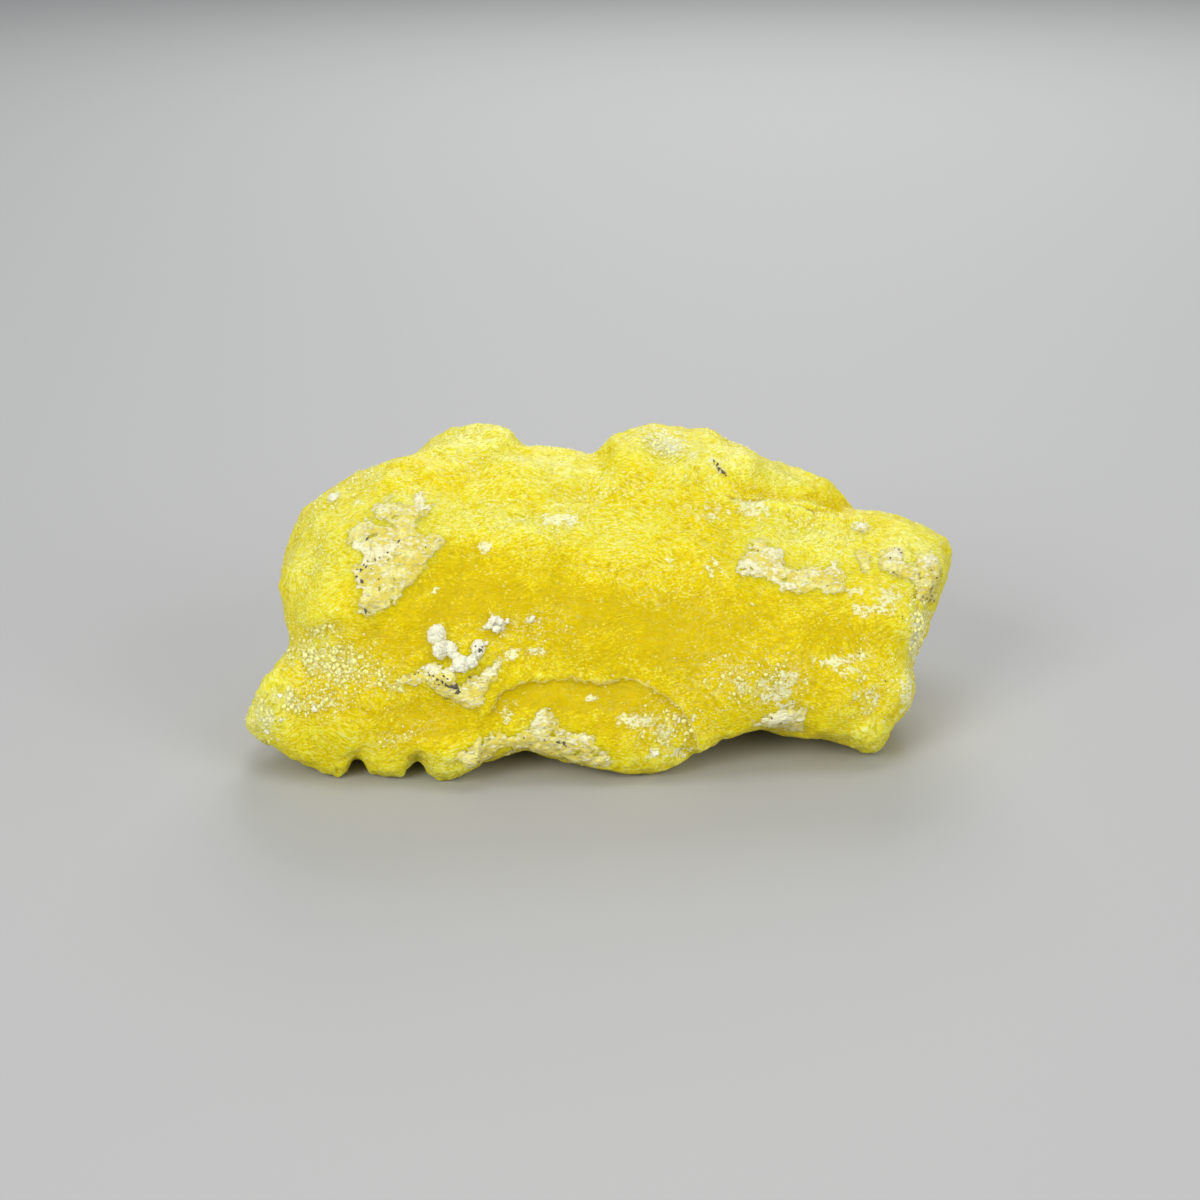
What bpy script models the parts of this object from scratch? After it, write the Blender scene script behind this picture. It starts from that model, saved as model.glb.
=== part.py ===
"""A brucite specimen: one lumpy yellow mass, broken from its vein and resting on its own feet.

The mass is drawn in the view it is displayed in. There u runs to the right, v up and w towards the viewer,
and the plane of u and v leans back by VIEW_TILT. It is built up as the real one grew, from rounded lumps
that run into each other: each lump has a rim drawn in that plane, and swells from its rim towards the
viewer and away from it. The lumps are fused into one closed skin, which then gets its knobs, ledges,
crusts, nodules, mounds and hollows, and the flats that it rests on. Lengths are in millimetres until the
last step, which turns them into metres.
"""

import math

import bmesh
import bpy
from mathutils import Matrix, Vector, noise

MM = 0.001

# The display view
VIEW_TILT = math.radians(21)  # how far the viewer looks down
VIEW_DISTANCE = 240.0  # from the viewer to the plane of u and v
GROUND = -14.83  # height of the ground under the middle of that plane

BRUCITE_YELLOW = (0.80, 0.66, 0.06, 1)

# The skin
RIM_STEPS = 72  # points round one lump
CURVE_FILL = 8  # points from which each stretch of a rim's curve is measured
BULGE_STEPS = 9  # rings from a lump's rim to its spine, on each side
SPINE_SHARE = 0.03  # width left over a lump's spine, as a share of its rim
SKIN_CELL = 0.85  # side of one face of the fused skin
SKIN_SMOOTHING = 0.5
SKIN_SMOOTHING_ROUNDS = 4
SKIN_TRIANGLES = 9600  # kept in the finished skin, most of them where it bends most

# Rounded knobs all over the skin: for each size, how far apart they lie and how far they stand out
KNOBS = ((8.0, 0.55), (3.8, 0.26))
BACK_LUMPS = (12.0, 1.5)  # the same, for the coarser lumps behind
BACK_START, BACK_FULL = -7.0, -14.0  # depths w over which those set in
KNOB_GAIN, KNOB_BASE = 2.6, 0.5  # these spread the knobs' noise about evenly above and below the skin
KNOB_SHIFT, BACK_SHIFT = 17.0, 5.0  # these keep the noise of one size off that of the next
EDGE_RELIEF = 0.25  # share of the knobs left where the skin turns away from the viewer
FACING_START, FACING_FULL = 0.1, 0.6  # how squarely the skin faces the viewer where the relief sets in
RELIEF_SMOOTHING = 0.3  # share by which each point of the relief then moves to the middle of its neighbours

# Where the skin steps along a line in u and v. It stands out by rise on the left of the line, seen along
# it, and is cut back by fall on the right, with a slope LEDGE_SLOPE wide between. Both fade out over reach.
LEDGE_SLOPE = 1.1
LEDGES = {
    "over the middle lip": dict(
        line=[
            (-11.0, -11.2), (-9.6, -9.4), (-7.2, -8.2), (-4.0, -7.9), (-1.0, -8.3), (2.0, -8.1),
            (4.8, -8.9), (7.4, -10.5), (9.2, -12.8), (9.8, -15.6),
        ],
        rise=0.25, fall=0.35, reach=2.6,
    ),
    "left brow": dict(
        line=[
            (-21.0, -1.0), (-18.2, 2.8), (-15.8, 5.5), (-12.0, 5.2), (-8.0, 5.6), (-3.0, 4.6), (3.0, 3.0),
        ],
        rise=0.15, fall=0.15, reach=3.4,
    ),
    "under the top left knob": dict(
        line=[(-20.0, 13.4), (-16.8, 14.6), (-13.0, 14.7), (-9.5, 15.2), (-7.6, 15.0)],
        rise=0.5, fall=0.5, reach=1.8,
    ),
    "crack behind the right shoulder": dict(
        line=[(25.4, 8.8), (21.5, 9.4), (17.4, 10.2), (13.0, 10.5)],
        rise=0.7, fall=0.6, reach=2.4,
    ),
    "crust on the fin's end": dict(
        line=[(-20.0, -8.2), (-15.6, -9.4), (-12.8, -8.4), (-10.6, -6.4), (-7.0, -5.4)],
        rise=0.25, fall=0.1, reach=2.2,
    ),
}

# Thin crusts of the vein's wall that still cling to the skin: outlines in u and v
CRUST_RISE = 0.35
CRUST_SLOPE = 0.7  # width of a crust's edge
CRUSTS = {
    "left shoulder": [
        (-22.7, 9.7), (-20.7, 10.3), (-18.6, 9.5), (-18.0, 10.9), (-17.4, 9.6), (-16.7, 9.0), (-18.2, 8.0),
        (-18.1, 6.6), (-16.1, 6.5), (-15.6, 5.6), (-17.7, 2.7), (-20.2, 0.3), (-22.3, -1.5), (-24.1, -1.2),
        (-24.7, 3.2), (-23.6, 4.3), (-25.1, 5.6), (-24.4, 8.0), (-22.6, 8.5),
    ],
    "end of the fin": [
        (-20.1, -8.2), (-18.0, -7.0), (-16.0, -6.6), (-14.8, -7.0), (-14.0, -8.8), (-12.1, -7.4),
        (-11.4, -8.2), (-12.0, -10.8), (-14.6, -10.5), (-16.6, -8.4), (-18.6, -8.0),
    ],
    "over the arch": [
        (-14.4, -15.9), (-12.1, -13.8), (-9.2, -13.6), (-6.8, -12.6), (-6.4, -10.8), (-5.2, -10.6),
        (-4.0, -12.9), (-0.7, -13.4), (1.0, -15.5), (0.0, -17.2), (-7.0, -15.6), (-12.0, -16.8),
    ],
    "right shoulder": [
        (13.7, 3.0), (14.8, 5.6), (16.2, 6.1), (18.4, 4.8), (18.7, 3.4), (22.3, 3.0), (23.3, 4.1),
        (24.9, 2.2), (24.4, 0.8), (18.4, 0.9), (17.4, 1.9), (14.2, 2.5),
    ],
    "right end": [
        (27.7, 3.9), (28.2, 4.9), (29.7, 5.7), (31.2, 3.6), (32.7, 4.8), (34.1, 4.1), (34.2, 2.2),
        (33.4, -0.3), (31.9, 0.1), (31.0, 1.9), (28.4, 3.0),
    ],
}
# Round nodules on the skin: u, v and radius
NODULES = (
    (-16.3, -3.5, 1.0), (-15.9, -5.1, 0.9), (-15.0, -4.9, 0.8), (-13.9, -6.4, 1.0), (-12.8, -6.2, 0.8),
    (-12.2, -4.9, 0.8), (-10.3, -2.4, 0.9),
)

# Low mounds and hollows of the skin: place in u and v, reach along and across, turn in degrees, height
MOUNDS = {
    "hollow under the left brow": (-15.0, 0.8, 7.5, 2.8, 20, -0.7),
    "saddle behind the fin": (-19.5, -4.4, 7.5, 2.4, -8, -1.0),
    "valley between the top lobes": (-1.0, 12.0, 3.4, 6.0, -12, -0.9),
    "fill between the right lobes": (13.6, 12.6, 3.0, 2.6, 0, 1.2),
    "shoulder over the arch": (16.0, -7.5, 8.0, 4.0, 0, 0.7),
    "front of the middle": (2.0, -3.0, 6.0, 3.0, -8, 0.5),
    "dip before the right end": (24.0, -1.0, 2.6, 6.0, 15, -0.7),
    "knuckle of the right end": (29.0, 3.6, 3.2, 2.6, 0, 0.6),
    "dip above the right foot": (27.0, -4.6, 5.0, 1.8, 10, -0.6),
    "crest of the fin": (-25.0, -4.6, 5.5, 1.2, -8, 0.4),
    "knuckle of the fin": (-27.0, -10.5, 5.0, 3.0, 12, 0.6),
    "toe of the fin": (-15.6, -15.5, 3.4, 3.2, 0, 0.4),
    "brink of the arch": (-5.0, -13.4, 4.4, 1.6, 0, 0.4),
    "fill behind the fin": (-17.0, -7.6, 9.0, 2.0, -2, 0.9),
}

# Notches in the lower edge of the fin: where they lie in u and v, their half width and how deep they are
NOTCHES = ((-24.3, -17.8, 1.5, 2.6), (-18.2, -17.8, 1.4, 2.6))
NOTCH_RUN = 3.4  # how far above the edge the skin is drawn up with a notch

# The lumps. rim is drawn in u and v, and lies at depth w, which changes by lean for each unit of (u, v)
# away from the first point of the spine. The lump swells by front and back over its spine. edge says how
# full it is above and below the spine: 2 is round, less slopes like a roof and more is boxy.
LUMPS = {
    "core": dict(
        rim=[
            (-30.0, 2.0), (-28.5, 8.5), (-24.0, 12.5), (-17.5, 14.4), (-8.0, 15.2), (-3.5, 15.4),
            (0.2, 14.2), (8.0, 13.4), (14.0, 10.3), (19.0, 9.8), (24.6, 9.0), (30.0, 8.2), (33.0, 5.5),
            (33.4, 0.5), (31.6, -4.0), (30.6, -9.0), (28.0, -12.4), (24.5, -14.0), (19.5, -13.0),
            (16.0, -13.0), (12.0, -13.8), (9.6, -13.8), (8.0, -11.6), (5.2, -9.9), (2.0, -9.1),
            (-2.0, -9.1), (-6.0, -8.9), (-9.6, -9.4), (-14.0, -9.4), (-20.0, -9.0), (-26.0, -7.2),
            (-29.8, -3.0),
        ],
        spine=[(-19.0, 2.4), (-14.0, 4.6), (-5.0, 4.4), (6.0, 1.4), (22.0, 0.0)],
        depth=-0.4, lean=(-0.10, -0.30), front=8.4, back=15.0, edge=(1.2, 4.0),
    ),
    "left shoulder": dict(
        rim=[
            (-32.2, 2.2), (-31.1, 6.0), (-29.8, 9.2), (-26.0, 11.9), (-22.0, 13.7), (-17.5, 14.6),
            (-13.0, 11.5), (-13.5, 7.0), (-16.4, 3.4), (-19.0, 0.8), (-22.5, -2.0), (-26.5, -4.4),
            (-30.8, -4.1), (-31.7, -0.8),
        ],
        spine=[(-25.0, 0.6), (-22.0, 6.0)],
        depth=1.4, lean=(0.12, -0.42), front=7.2, back=12.0, edge=(1.6, 3.0),
    ),
    "top left knob": dict(
        rim=[
            (-18.8, 13.6), (-17.7, 15.4), (-16.4, 16.6), (-13.5, 17.5), (-10.5, 17.6), (-9.1, 17.0),
            (-8.3, 15.6), (-7.8, 13.0), (-12.0, 10.0), (-18.0, 11.0),
        ],
        spine=[(-15.0, 13.4), (-11.0, 13.8)],
        depth=-6.0, lean=(0.0, -0.45), front=4.2, back=7.0, edge=(2.0, 2.0),
    ),
    "upper right lobe": dict(
        rim=[
            (0.5, 14.0), (0.4, 16.0), (1.8, 17.1), (4.0, 17.3), (5.0, 17.9), (8.0, 17.4), (11.3, 17.3),
            (12.2, 16.2), (14.4, 15.6), (16.3, 14.2), (18.1, 13.9), (20.2, 13.0), (22.2, 12.4),
            (23.7, 11.0), (24.9, 8.8), (22.0, 5.0), (14.0, 5.0), (5.0, 6.5), (0.8, 10.8),
        ],
        spine=[(4.5, 12.4), (11.0, 12.4), (18.0, 9.4)],
        depth=-5.4, lean=(-0.22, -0.42), front=5.0, back=8.0, edge=(1.7, 2.0),
    ),
    "right end": dict(
        rim=[
            (24.4, 8.9), (27.6, 9.0), (30.2, 8.5), (32.6, 7.3), (34.6, 6.3), (35.2, 5.2), (34.9, 2.1),
            (34.0, 1.3), (33.9, -0.9), (32.5, -2.2), (31.6, -5.0), (27.0, -6.0), (21.0, -2.0), (20.0, 5.0),
        ],
        spine=[(25.0, 3.0), (31.0, 2.2)],
        depth=-3.8, lean=(-0.14, -0.34), front=7.0, back=9.0, edge=(1.6, 3.0),
    ),
    "right foot": dict(
        rim=[
            (32.4, -2.4), (32.1, -4.8), (31.0, -6.9), (31.6, -8.0), (31.4, -10.0), (30.1, -11.9),
            (28.9, -12.9), (28.9, -13.8), (28.2, -14.9), (27.0, -15.5), (25.4, -14.9), (23.0, -14.0),
            (17.0, -13.0), (17.0, -7.0), (22.0, -1.0),
        ],
        spine=[(24.0, -5.0), (26.0, -10.5)],
        depth=-2.2, lean=(-0.12, -0.16), front=6.6, back=9.0, edge=(2.4, 3.4),
    ),
    "lower left fin": dict(
        rim=[
            (-35.8, -12.5), (-34.6, -9.6), (-33.0, -7.2), (-31.2, -4.9), (-28.0, -3.0), (-22.0, -2.0),
            (-14.0, -3.0), (-9.0, -7.0), (-9.0, -12.5), (-12.0, -16.4), (-13.6, -17.7), (-15.4, -18.5),
            (-17.4, -18.1), (-20.0, -17.6), (-22.8, -17.7), (-25.0, -18.1), (-26.5, -18.1),
            (-28.6, -16.9), (-31.0, -15.7), (-33.4, -14.5), (-35.2, -13.5),
        ],
        spine=[(-29.0, -9.6), (-21.0, -10.5), (-14.0, -11.5)],
        depth=3.6, lean=(0.06, 0.02), front=4.2, back=8.0, edge=(2.4, 5.0),
    ),
    "middle lip": dict(
        rim=[
            (-11.0, -16.1), (-13.0, -13.0), (-10.5, -7.0), (-4.0, -4.5), (2.0, -4.5), (7.5, -6.0),
            (10.6, -10.0), (11.0, -14.0), (8.6, -15.7), (7.0, -17.0), (5.4, -17.6), (3.0, -17.4),
            (0.0, -16.9), (-3.0, -16.1), (-6.0, -15.4), (-8.0, -15.0),
        ],
        spine=[(-5.5, -10.4), (4.0, -11.0)],
        depth=3.4, lean=(-0.04, -0.12), front=4.3, back=9.0, edge=(5.0, 3.0),
    ),
    "skirt over the arch": dict(
        rim=[
            (9.4, -13.6), (12.0, -13.8), (16.0, -13.0), (19.5, -13.0), (24.5, -14.0), (26.0, -15.0),
            (27.2, -15.4), (28.3, -14.8), (29.0, -13.2), (30.2, -11.8), (31.3, -9.8), (31.0, -7.4),
            (27.0, -5.0), (16.0, -4.0), (9.0, -7.0),
        ],
        spine=[(13.0, -9.4), (26.0, -9.8)],
        depth=3.6, lean=(-0.09, 0.0), front=2.8, back=9.0, edge=(3.0, 4.4),
    ),
    "rear belly": dict(
        rim=[
            (-23.0, -2.0), (-20.0, -7.6), (-14.0, -10.2), (-9.0, -11.5), (-3.0, -10.0), (3.0, -9.8),
            (9.0, -11.3), (14.0, -10.6), (19.0, -8.6), (24.0, -3.0), (23.0, 4.0), (14.0, 8.0), (0.0, 9.0),
            (-14.0, 8.5), (-21.0, 4.0),
        ],
        spine=[(-11.0, -1.5), (12.0, -1.5)],
        depth=-10.5, lean=(-0.03, 0.02), front=4.0, back=10.0, edge=(2.4, 2.4),
    ),
    "rear left knob": dict(
        rim=[
            (-27.0, 0.0), (-26.0, -6.0), (-20.0, -9.0), (-14.0, -6.0), (-12.5, 0.0), (-16.0, 5.0),
            (-23.0, 5.0),
        ],
        spine=[(-20.5, -2.5), (-18.5, 0.0)],
        depth=-8.5, lean=(0.0, 0.0), front=3.0, back=8.5, edge=(2.0, 2.0),
    ),
}


def closed_curve(points, steps):
    """Evenly spaced points on a smooth closed curve (Catmull-Rom) through the given ones."""
    count = len(points)
    dense = []
    for i in range(count):
        before, start, end, after = (Vector(points[(i + k) % count]) for k in (-1, 0, 1, 2))
        for k in range(CURVE_FILL):
            t = k / CURVE_FILL
            slope = (end - before) * t
            bend = (2 * before - 5 * start + 4 * end - after) * t**2
            twist = (3 * start - before - 3 * end + after) * t**3
            dense.append((2 * start + slope + bend + twist) / 2)
    lengths = [0.0]
    for a, b in zip(dense, dense[1:] + dense[:1]):
        lengths.append(lengths[-1] + (b - a).length)
    spaced, k = [], 0
    for i in range(steps):
        wanted = lengths[-1] * i / steps
        while lengths[k + 1] < wanted:
            k += 1
        share = (wanted - lengths[k]) / (lengths[k + 1] - lengths[k])
        spaced.append(dense[k].lerp(dense[(k + 1) % len(dense)], share))
    return spaced


def nearest_on_line(point, line):
    """The point of a line of straight runs that is nearest to a point, and the run it lies on."""
    feet = []
    for a, b in zip(line, line[1:]):
        start, run = Vector(a), Vector(b) - Vector(a)
        share = min(max((point - start).dot(run) / run.length_squared, 0.0), 1.0)
        feet.append((start + run * share, run))
    return min(feet, key=lambda found: (point - found[0]).length)


def is_inside(point, outline):
    """Whether a point of the view lies inside a closed outline."""
    inside = False
    for (au, av), (bu, bv) in zip(outline, outline[1:] + outline[:1]):
        if (av > point.y) != (bv > point.y):
            inside ^= point.x < au + (bu - au) * (point.y - av) / (bv - av)
    return inside


def ramp(value, start, end):
    """0 before start and 1 after end, with a soft run between them."""
    share = min(max((value - start) / (end - start), 0.0), 1.0)
    return share * share * (3 - 2 * share)


def in_space(u, v, w):
    """A point of the display view in the specimen's own space. What is nearer to the viewer looks larger."""
    shrink = 1 - w / VIEW_DISTANCE
    across, up = u * shrink, v * shrink
    y = up * math.sin(VIEW_TILT) - w * math.cos(VIEW_TILT)
    z = up * math.cos(VIEW_TILT) + w * math.sin(VIEW_TILT)
    return Vector((across, y, z))


def in_view(place):
    """The u and v where a point of the specimen's own space is seen, and its depth w."""
    up = place.y * math.sin(VIEW_TILT) + place.z * math.cos(VIEW_TILT)
    w = place.z * math.sin(VIEW_TILT) - place.y * math.cos(VIEW_TILT)
    shrink = 1 - w / VIEW_DISTANCE
    return Vector((place.x / shrink, up / shrink)), w


def add_lump(lumps, rim, spine, depth, lean, front, back, edge):
    """Adds one closed lump to a bmesh, as rings that narrow on both sides from its rim to its spine."""
    around = closed_curve(rim, RIM_STEPS)
    feet = [nearest_on_line(point, spine)[0] for point in around]
    turns = [-turn for turn in range(BULGE_STEPS, 0, -1)] + list(range(BULGE_STEPS + 1))
    rings = []
    for turn in turns:
        share = max(math.cos(math.pi / 2 * turn / BULGE_STEPS), SPINE_SHARE)
        ring = []
        for point, foot in zip(around, feet):
            place = foot.lerp(point, share)
            away = place - Vector(spine[0])
            above = 0.5 + 0.5 * (point - foot).normalized().y
            fullness = edge[1] + (edge[0] - edge[1]) * above
            if turn < 0:
                swell = -back * (1 - share**2) ** 0.5
            else:
                swell = front * (1 - share**fullness) ** 0.5
            w = depth + lean[0] * away.x + lean[1] * away.y + swell
            ring.append(lumps.verts.new(in_space(place.x, place.y, w)))
        rings.append(ring)
    for lower, upper in zip(rings, rings[1:]):
        for i in range(RIM_STEPS):
            j = (i + 1) % RIM_STEPS
            lumps.faces.new((lower[i], lower[j], upper[j], upper[i]))
    lumps.faces.new(reversed(rings[0]))
    lumps.faces.new(rings[-1])


def modified_mesh(draft):
    """The mesh that an object's modifiers make. The object itself is removed."""
    bpy.context.scene.collection.objects.link(draft)
    graph = bpy.context.evaluated_depsgraph_get()
    mesh = bpy.data.meshes.new_from_object(draft.evaluated_get(graph))
    bpy.data.objects.remove(draft)
    return mesh


def fused_skin():
    """One closed, even skin round all the lumps."""
    lumps = bmesh.new()
    for lump in LUMPS.values():
        add_lump(lumps, **lump)
    mesh = bpy.data.meshes.new("lumps")
    lumps.to_mesh(mesh)
    lumps.free()
    draft = bpy.data.objects.new("lumps", mesh)
    fuse = draft.modifiers.new("Fuse", "REMESH")
    fuse.mode = "VOXEL"
    fuse.voxel_size = SKIN_CELL
    soften = draft.modifiers.new("Soften", "SMOOTH")
    soften.factor = SKIN_SMOOTHING
    soften.iterations = SKIN_SMOOTHING_ROUNDS
    return modified_mesh(draft)


def knob_height(place, spacing, rise, shift):
    """How far the knobs of one size lift the skin at a place: round knobs, with creases where they meet."""
    height = noise.noise(place / spacing + Vector((shift, 0.0, 0.0)))
    return rise * (KNOB_GAIN * abs(height) - KNOB_BASE)


def ledge_height(point, line, rise, fall, reach):
    """How far a ledge lifts the skin at a point of the view."""
    foot, run = nearest_on_line(point, line)
    away = point - foot
    side = math.copysign(away.length, run.cross(away))
    left = ramp(side, -LEDGE_SLOPE / 2, LEDGE_SLOPE / 2)
    return (left * (rise + fall) - fall) * (1 - ramp(away.length, 0.0, reach))


def crust_height(point, outline):
    """How far a crust lifts the skin at a point of the view."""
    foot, _ = nearest_on_line(point, outline + outline[:1])
    within = (point - foot).length * (1 if is_inside(point, outline) else -1)
    return CRUST_RISE * ramp(within, -CRUST_SLOPE / 2, CRUST_SLOPE / 2)


def nodule_height(point, u, v, radius):
    """How far one round nodule stands out of the skin at a point of the view."""
    return max(radius**2 - (point - Vector((u, v))).length_squared, 0.0) ** 0.5


def mound_height(point, u, v, along, across, turn, height):
    """How far one mound lifts the skin at a point of the view."""
    away = Matrix.Rotation(math.radians(turn), 2) @ (point - Vector((u, v)))
    return height * math.exp(-((away.x / along) ** 2) - (away.y / across) ** 2)


def front_height(point):
    """How far the named features of the displayed side lift the skin at a point of the view."""
    height = sum(ledge_height(point, **ledge) for ledge in LEDGES.values())
    height += sum(mound_height(point, *mound) for mound in MOUNDS.values())
    height += sum(crust_height(point, outline) for outline in CRUSTS.values())
    return height + max(nodule_height(point, *nodule) for nodule in NODULES)


def add_relief(skin):
    """Raises the skin's knobs and the features of its displayed side, along its own normals."""
    viewer = in_space(0, 0, 1)
    raised = []
    for vert in skin.vertices:
        point, w = in_view(vert.co)
        facing = vert.normal.dot(viewer)
        height = sum(knob_height(vert.co, *knob, KNOB_SHIFT * k) for k, knob in enumerate(KNOBS))
        height += ramp(-w, -BACK_START, -BACK_FULL) * knob_height(vert.co, *BACK_LUMPS, BACK_SHIFT)
        height *= EDGE_RELIEF + (1 - EDGE_RELIEF) * ramp(abs(facing), FACING_START, FACING_FULL)
        if facing > FACING_START:
            height += front_height(point) * ramp(facing, FACING_START, FACING_FULL)
        raised.append(vert.co + vert.normal * height)
    shape = bmesh.new()
    shape.from_mesh(skin)
    for vert, place in zip(shape.verts, raised):
        vert.co = place
    bmesh.ops.smooth_vert(
        shape,
        verts=shape.verts[:],
        factor=RELIEF_SMOOTHING,
        use_axis_x=True,
        use_axis_y=True,
        use_axis_z=True,
    )
    shape.to_mesh(skin)
    shape.free()


def cut_notches(skin):
    """Draws the lower edge of the skin up into its notches. Above NOTCH_RUN the skin stays where it is."""
    up = in_space(0, 1, 0)
    for vert in skin.vertices:
        point, _ = in_view(vert.co)
        for u, v, half_width, deep in NOTCHES:
            share = max(1 - abs(point.x - u) / half_width, 0.0)
            vert.co += up * deep * share * (1 - ramp(point.y - v, 0.0, NOTCH_RUN))


def with_fewer_faces(skin):
    """The skin with about SKIN_TRIANGLES triangles, small where it bends and large where it is even."""
    draft = bpy.data.objects.new("fine skin", skin)
    thin_out = draft.modifiers.new("Thin out", "DECIMATE")
    thin_out.ratio = SKIN_TRIANGLES / sum(len(face.vertices) - 2 for face in skin.polygons)
    return modified_mesh(draft)


def rest_flat(skin):
    """Cuts the skin off along the ground, which leaves a small flat under each foot."""
    shape = bmesh.new()
    shape.from_mesh(skin)
    bmesh.ops.bisect_plane(
        shape,
        geom=shape.verts[:] + shape.edges[:] + shape.faces[:],
        dist=1e-4,
        plane_co=(0, 0, GROUND),
        plane_no=(0, 0, 1),
        clear_inner=True,
    )
    bmesh.ops.holes_fill(shape, edges=[edge for edge in shape.edges if edge.is_boundary])
    bmesh.ops.triangulate(shape, faces=shape.faces[:])
    bmesh.ops.recalc_face_normals(shape, faces=shape.faces[:])
    shape.to_mesh(skin)
    shape.free()


def stand_on_origin(skin):
    """Moves the origin to the middle of the base and turns millimetres into metres."""
    places = [vert.co for vert in skin.vertices]
    low, high = (Vector(end(place[axis] for place in places) for axis in range(3)) for end in (min, max))
    middle = Vector(((low.x + high.x) / 2, (low.y + high.y) / 2, low.z))
    skin.transform(Matrix.Scale(MM, 4) @ Matrix.Translation(-middle))
    print("size in mm:", [round(length, 2) for length in high - low])
    print("middle of the base in mm:", [round(length, 3) for length in middle])


def brucite_material():
    material = bpy.data.materials.new("brucite")
    material.use_nodes = True
    shader = material.node_tree.nodes["Principled BSDF"]
    shader.inputs["Base Color"].default_value = BRUCITE_YELLOW
    shader.inputs["Roughness"].default_value = 0.45
    shader.inputs["Metallic"].default_value = 0.0
    material.diffuse_color = BRUCITE_YELLOW
    return material


def main():
    for obj in list(bpy.data.objects):
        bpy.data.objects.remove(obj)
    skin = fused_skin()
    add_relief(skin)
    cut_notches(skin)
    skin = with_fewer_faces(skin)
    rest_flat(skin)
    stand_on_origin(skin)
    skin.name = "brucite_mass"
    skin.materials.append(brucite_material())
    mass = bpy.data.objects.new("brucite_mass", skin)
    bpy.context.scene.collection.objects.link(mass)
    print("triangles:", len(skin.polygons))


main()
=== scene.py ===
# %% [markdown]
# # A brucite specimen
#
# Brucite is magnesium hydroxide. This specimen is the lemon-yellow kind that lines veins in dark rock as
# lumpy, sugary masses. Light runs some millimetres into it, so thin edges glow and thick parts look gold.
# Scraps of the pale vein wall still cling to it as thin crusts and round nodules.
#
# The CAD solid already has the lumps, ledges and feet, with faces about a millimetre wide. This lesson
# grows a fine skin over that solid, then adds the crusts, nodules, grains and the stone itself.

# %% Load the frame
import math

import bmesh
import bpy
import numpy as np
from mathutils import Euler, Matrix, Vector, noise
from mathutils.bvhtree import BVHTree
from mathutils.geometry import barycentric_transform


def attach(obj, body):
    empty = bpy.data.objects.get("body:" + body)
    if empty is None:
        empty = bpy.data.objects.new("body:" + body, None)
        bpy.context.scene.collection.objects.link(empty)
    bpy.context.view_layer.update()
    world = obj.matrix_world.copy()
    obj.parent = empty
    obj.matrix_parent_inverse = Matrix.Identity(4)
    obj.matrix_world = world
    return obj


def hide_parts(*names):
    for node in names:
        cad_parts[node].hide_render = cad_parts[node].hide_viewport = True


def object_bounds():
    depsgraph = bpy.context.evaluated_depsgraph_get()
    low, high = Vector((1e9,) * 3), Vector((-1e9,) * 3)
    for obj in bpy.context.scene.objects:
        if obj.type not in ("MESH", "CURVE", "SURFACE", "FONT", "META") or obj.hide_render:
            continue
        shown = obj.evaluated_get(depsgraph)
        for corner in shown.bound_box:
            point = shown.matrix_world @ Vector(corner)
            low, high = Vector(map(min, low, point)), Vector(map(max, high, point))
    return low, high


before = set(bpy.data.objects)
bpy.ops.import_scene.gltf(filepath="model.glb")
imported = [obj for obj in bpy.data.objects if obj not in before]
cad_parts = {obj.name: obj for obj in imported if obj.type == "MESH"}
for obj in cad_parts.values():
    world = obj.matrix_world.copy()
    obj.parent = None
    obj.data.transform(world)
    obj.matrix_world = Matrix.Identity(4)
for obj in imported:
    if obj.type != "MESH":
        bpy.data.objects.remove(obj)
cad_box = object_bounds()
cad_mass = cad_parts["brucite_mass"]
print("CAD box in mm:", [[round(1000 * c, 2) for c in corner] for corner in cad_box])

# %% [markdown]
# ## Two ways to look at the stone
#
# Features are placed where they are seen, as on a map: u runs to the right and v up, in millimetres, on a
# plane in front of the viewer. A ray from the viewer's eye through that point finds the place on the stone.
# The stone has two such maps, one for the displayed side and one for the side behind.

# %% Maps of the stone
MM = 0.001
VIEW_TILT = 21  # how far the viewer of the displayed side looks down, in degrees


class Map:
    """A view of the stone from one eye, with u and v in millimetres on a plane through its middle."""

    def __init__(self, azimuth, elevation, middle, distance):
        a, e = math.radians(azimuth), math.radians(elevation)
        self.out = Vector((math.sin(a) * math.cos(e), -math.cos(a) * math.cos(e), math.sin(e)))
        self.right = Vector((math.cos(a), math.sin(a), 0))
        self.up = self.out.cross(self.right)
        self.middle = Vector(middle) * MM
        self.distance = distance * MM
        self.eye = self.middle + self.out * self.distance

    def ray(self, u, v):
        """The direction from the eye through one point of the map."""
        return ((u * self.right + v * self.up) * MM - self.out * self.distance).normalized()

    def where(self, places):
        """The u, v and depth towards the eye of many places, as columns."""
        away = places - np.array(self.middle)
        depth = away @ np.array(self.out)
        shrink = 1 - depth / self.distance
        u, v = (away @ np.array(axis) / shrink / MM for axis in (self.right, self.up))
        return np.stack([u, v, depth / MM], axis=1)


FRONT = Map(0, VIEW_TILT, (-0.479, -3.708, 14.83), 240)
BEHIND = Map(180, 24, (0.0, 0.0, 14.0), 240)
SIDES = (("front", FRONT), ("behind", BEHIND))
print("the front map's eye, in mm:", [round(c / MM, 1) for c in FRONT.eye])

# %% [markdown]
# ## Camera, floor and light
#
# The camera stands at the front map's eye. Its 72 mm lens on a 36 mm sensor puts 0.1 mm of the map on each
# pixel of a 1200 pixel picture. The floor is plain and pale. The lights are large and soft, because small
# ones would put hard glints on a stone whose charm is an even glow. Standard colour management keeps a
# strong yellow strong, where a film-like curve would wash it out.


# %% Camera
def placed(name, data):
    """A new object in the scene."""
    made = bpy.data.objects.new(name, data)
    bpy.context.scene.collection.objects.link(made)
    return made


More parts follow.
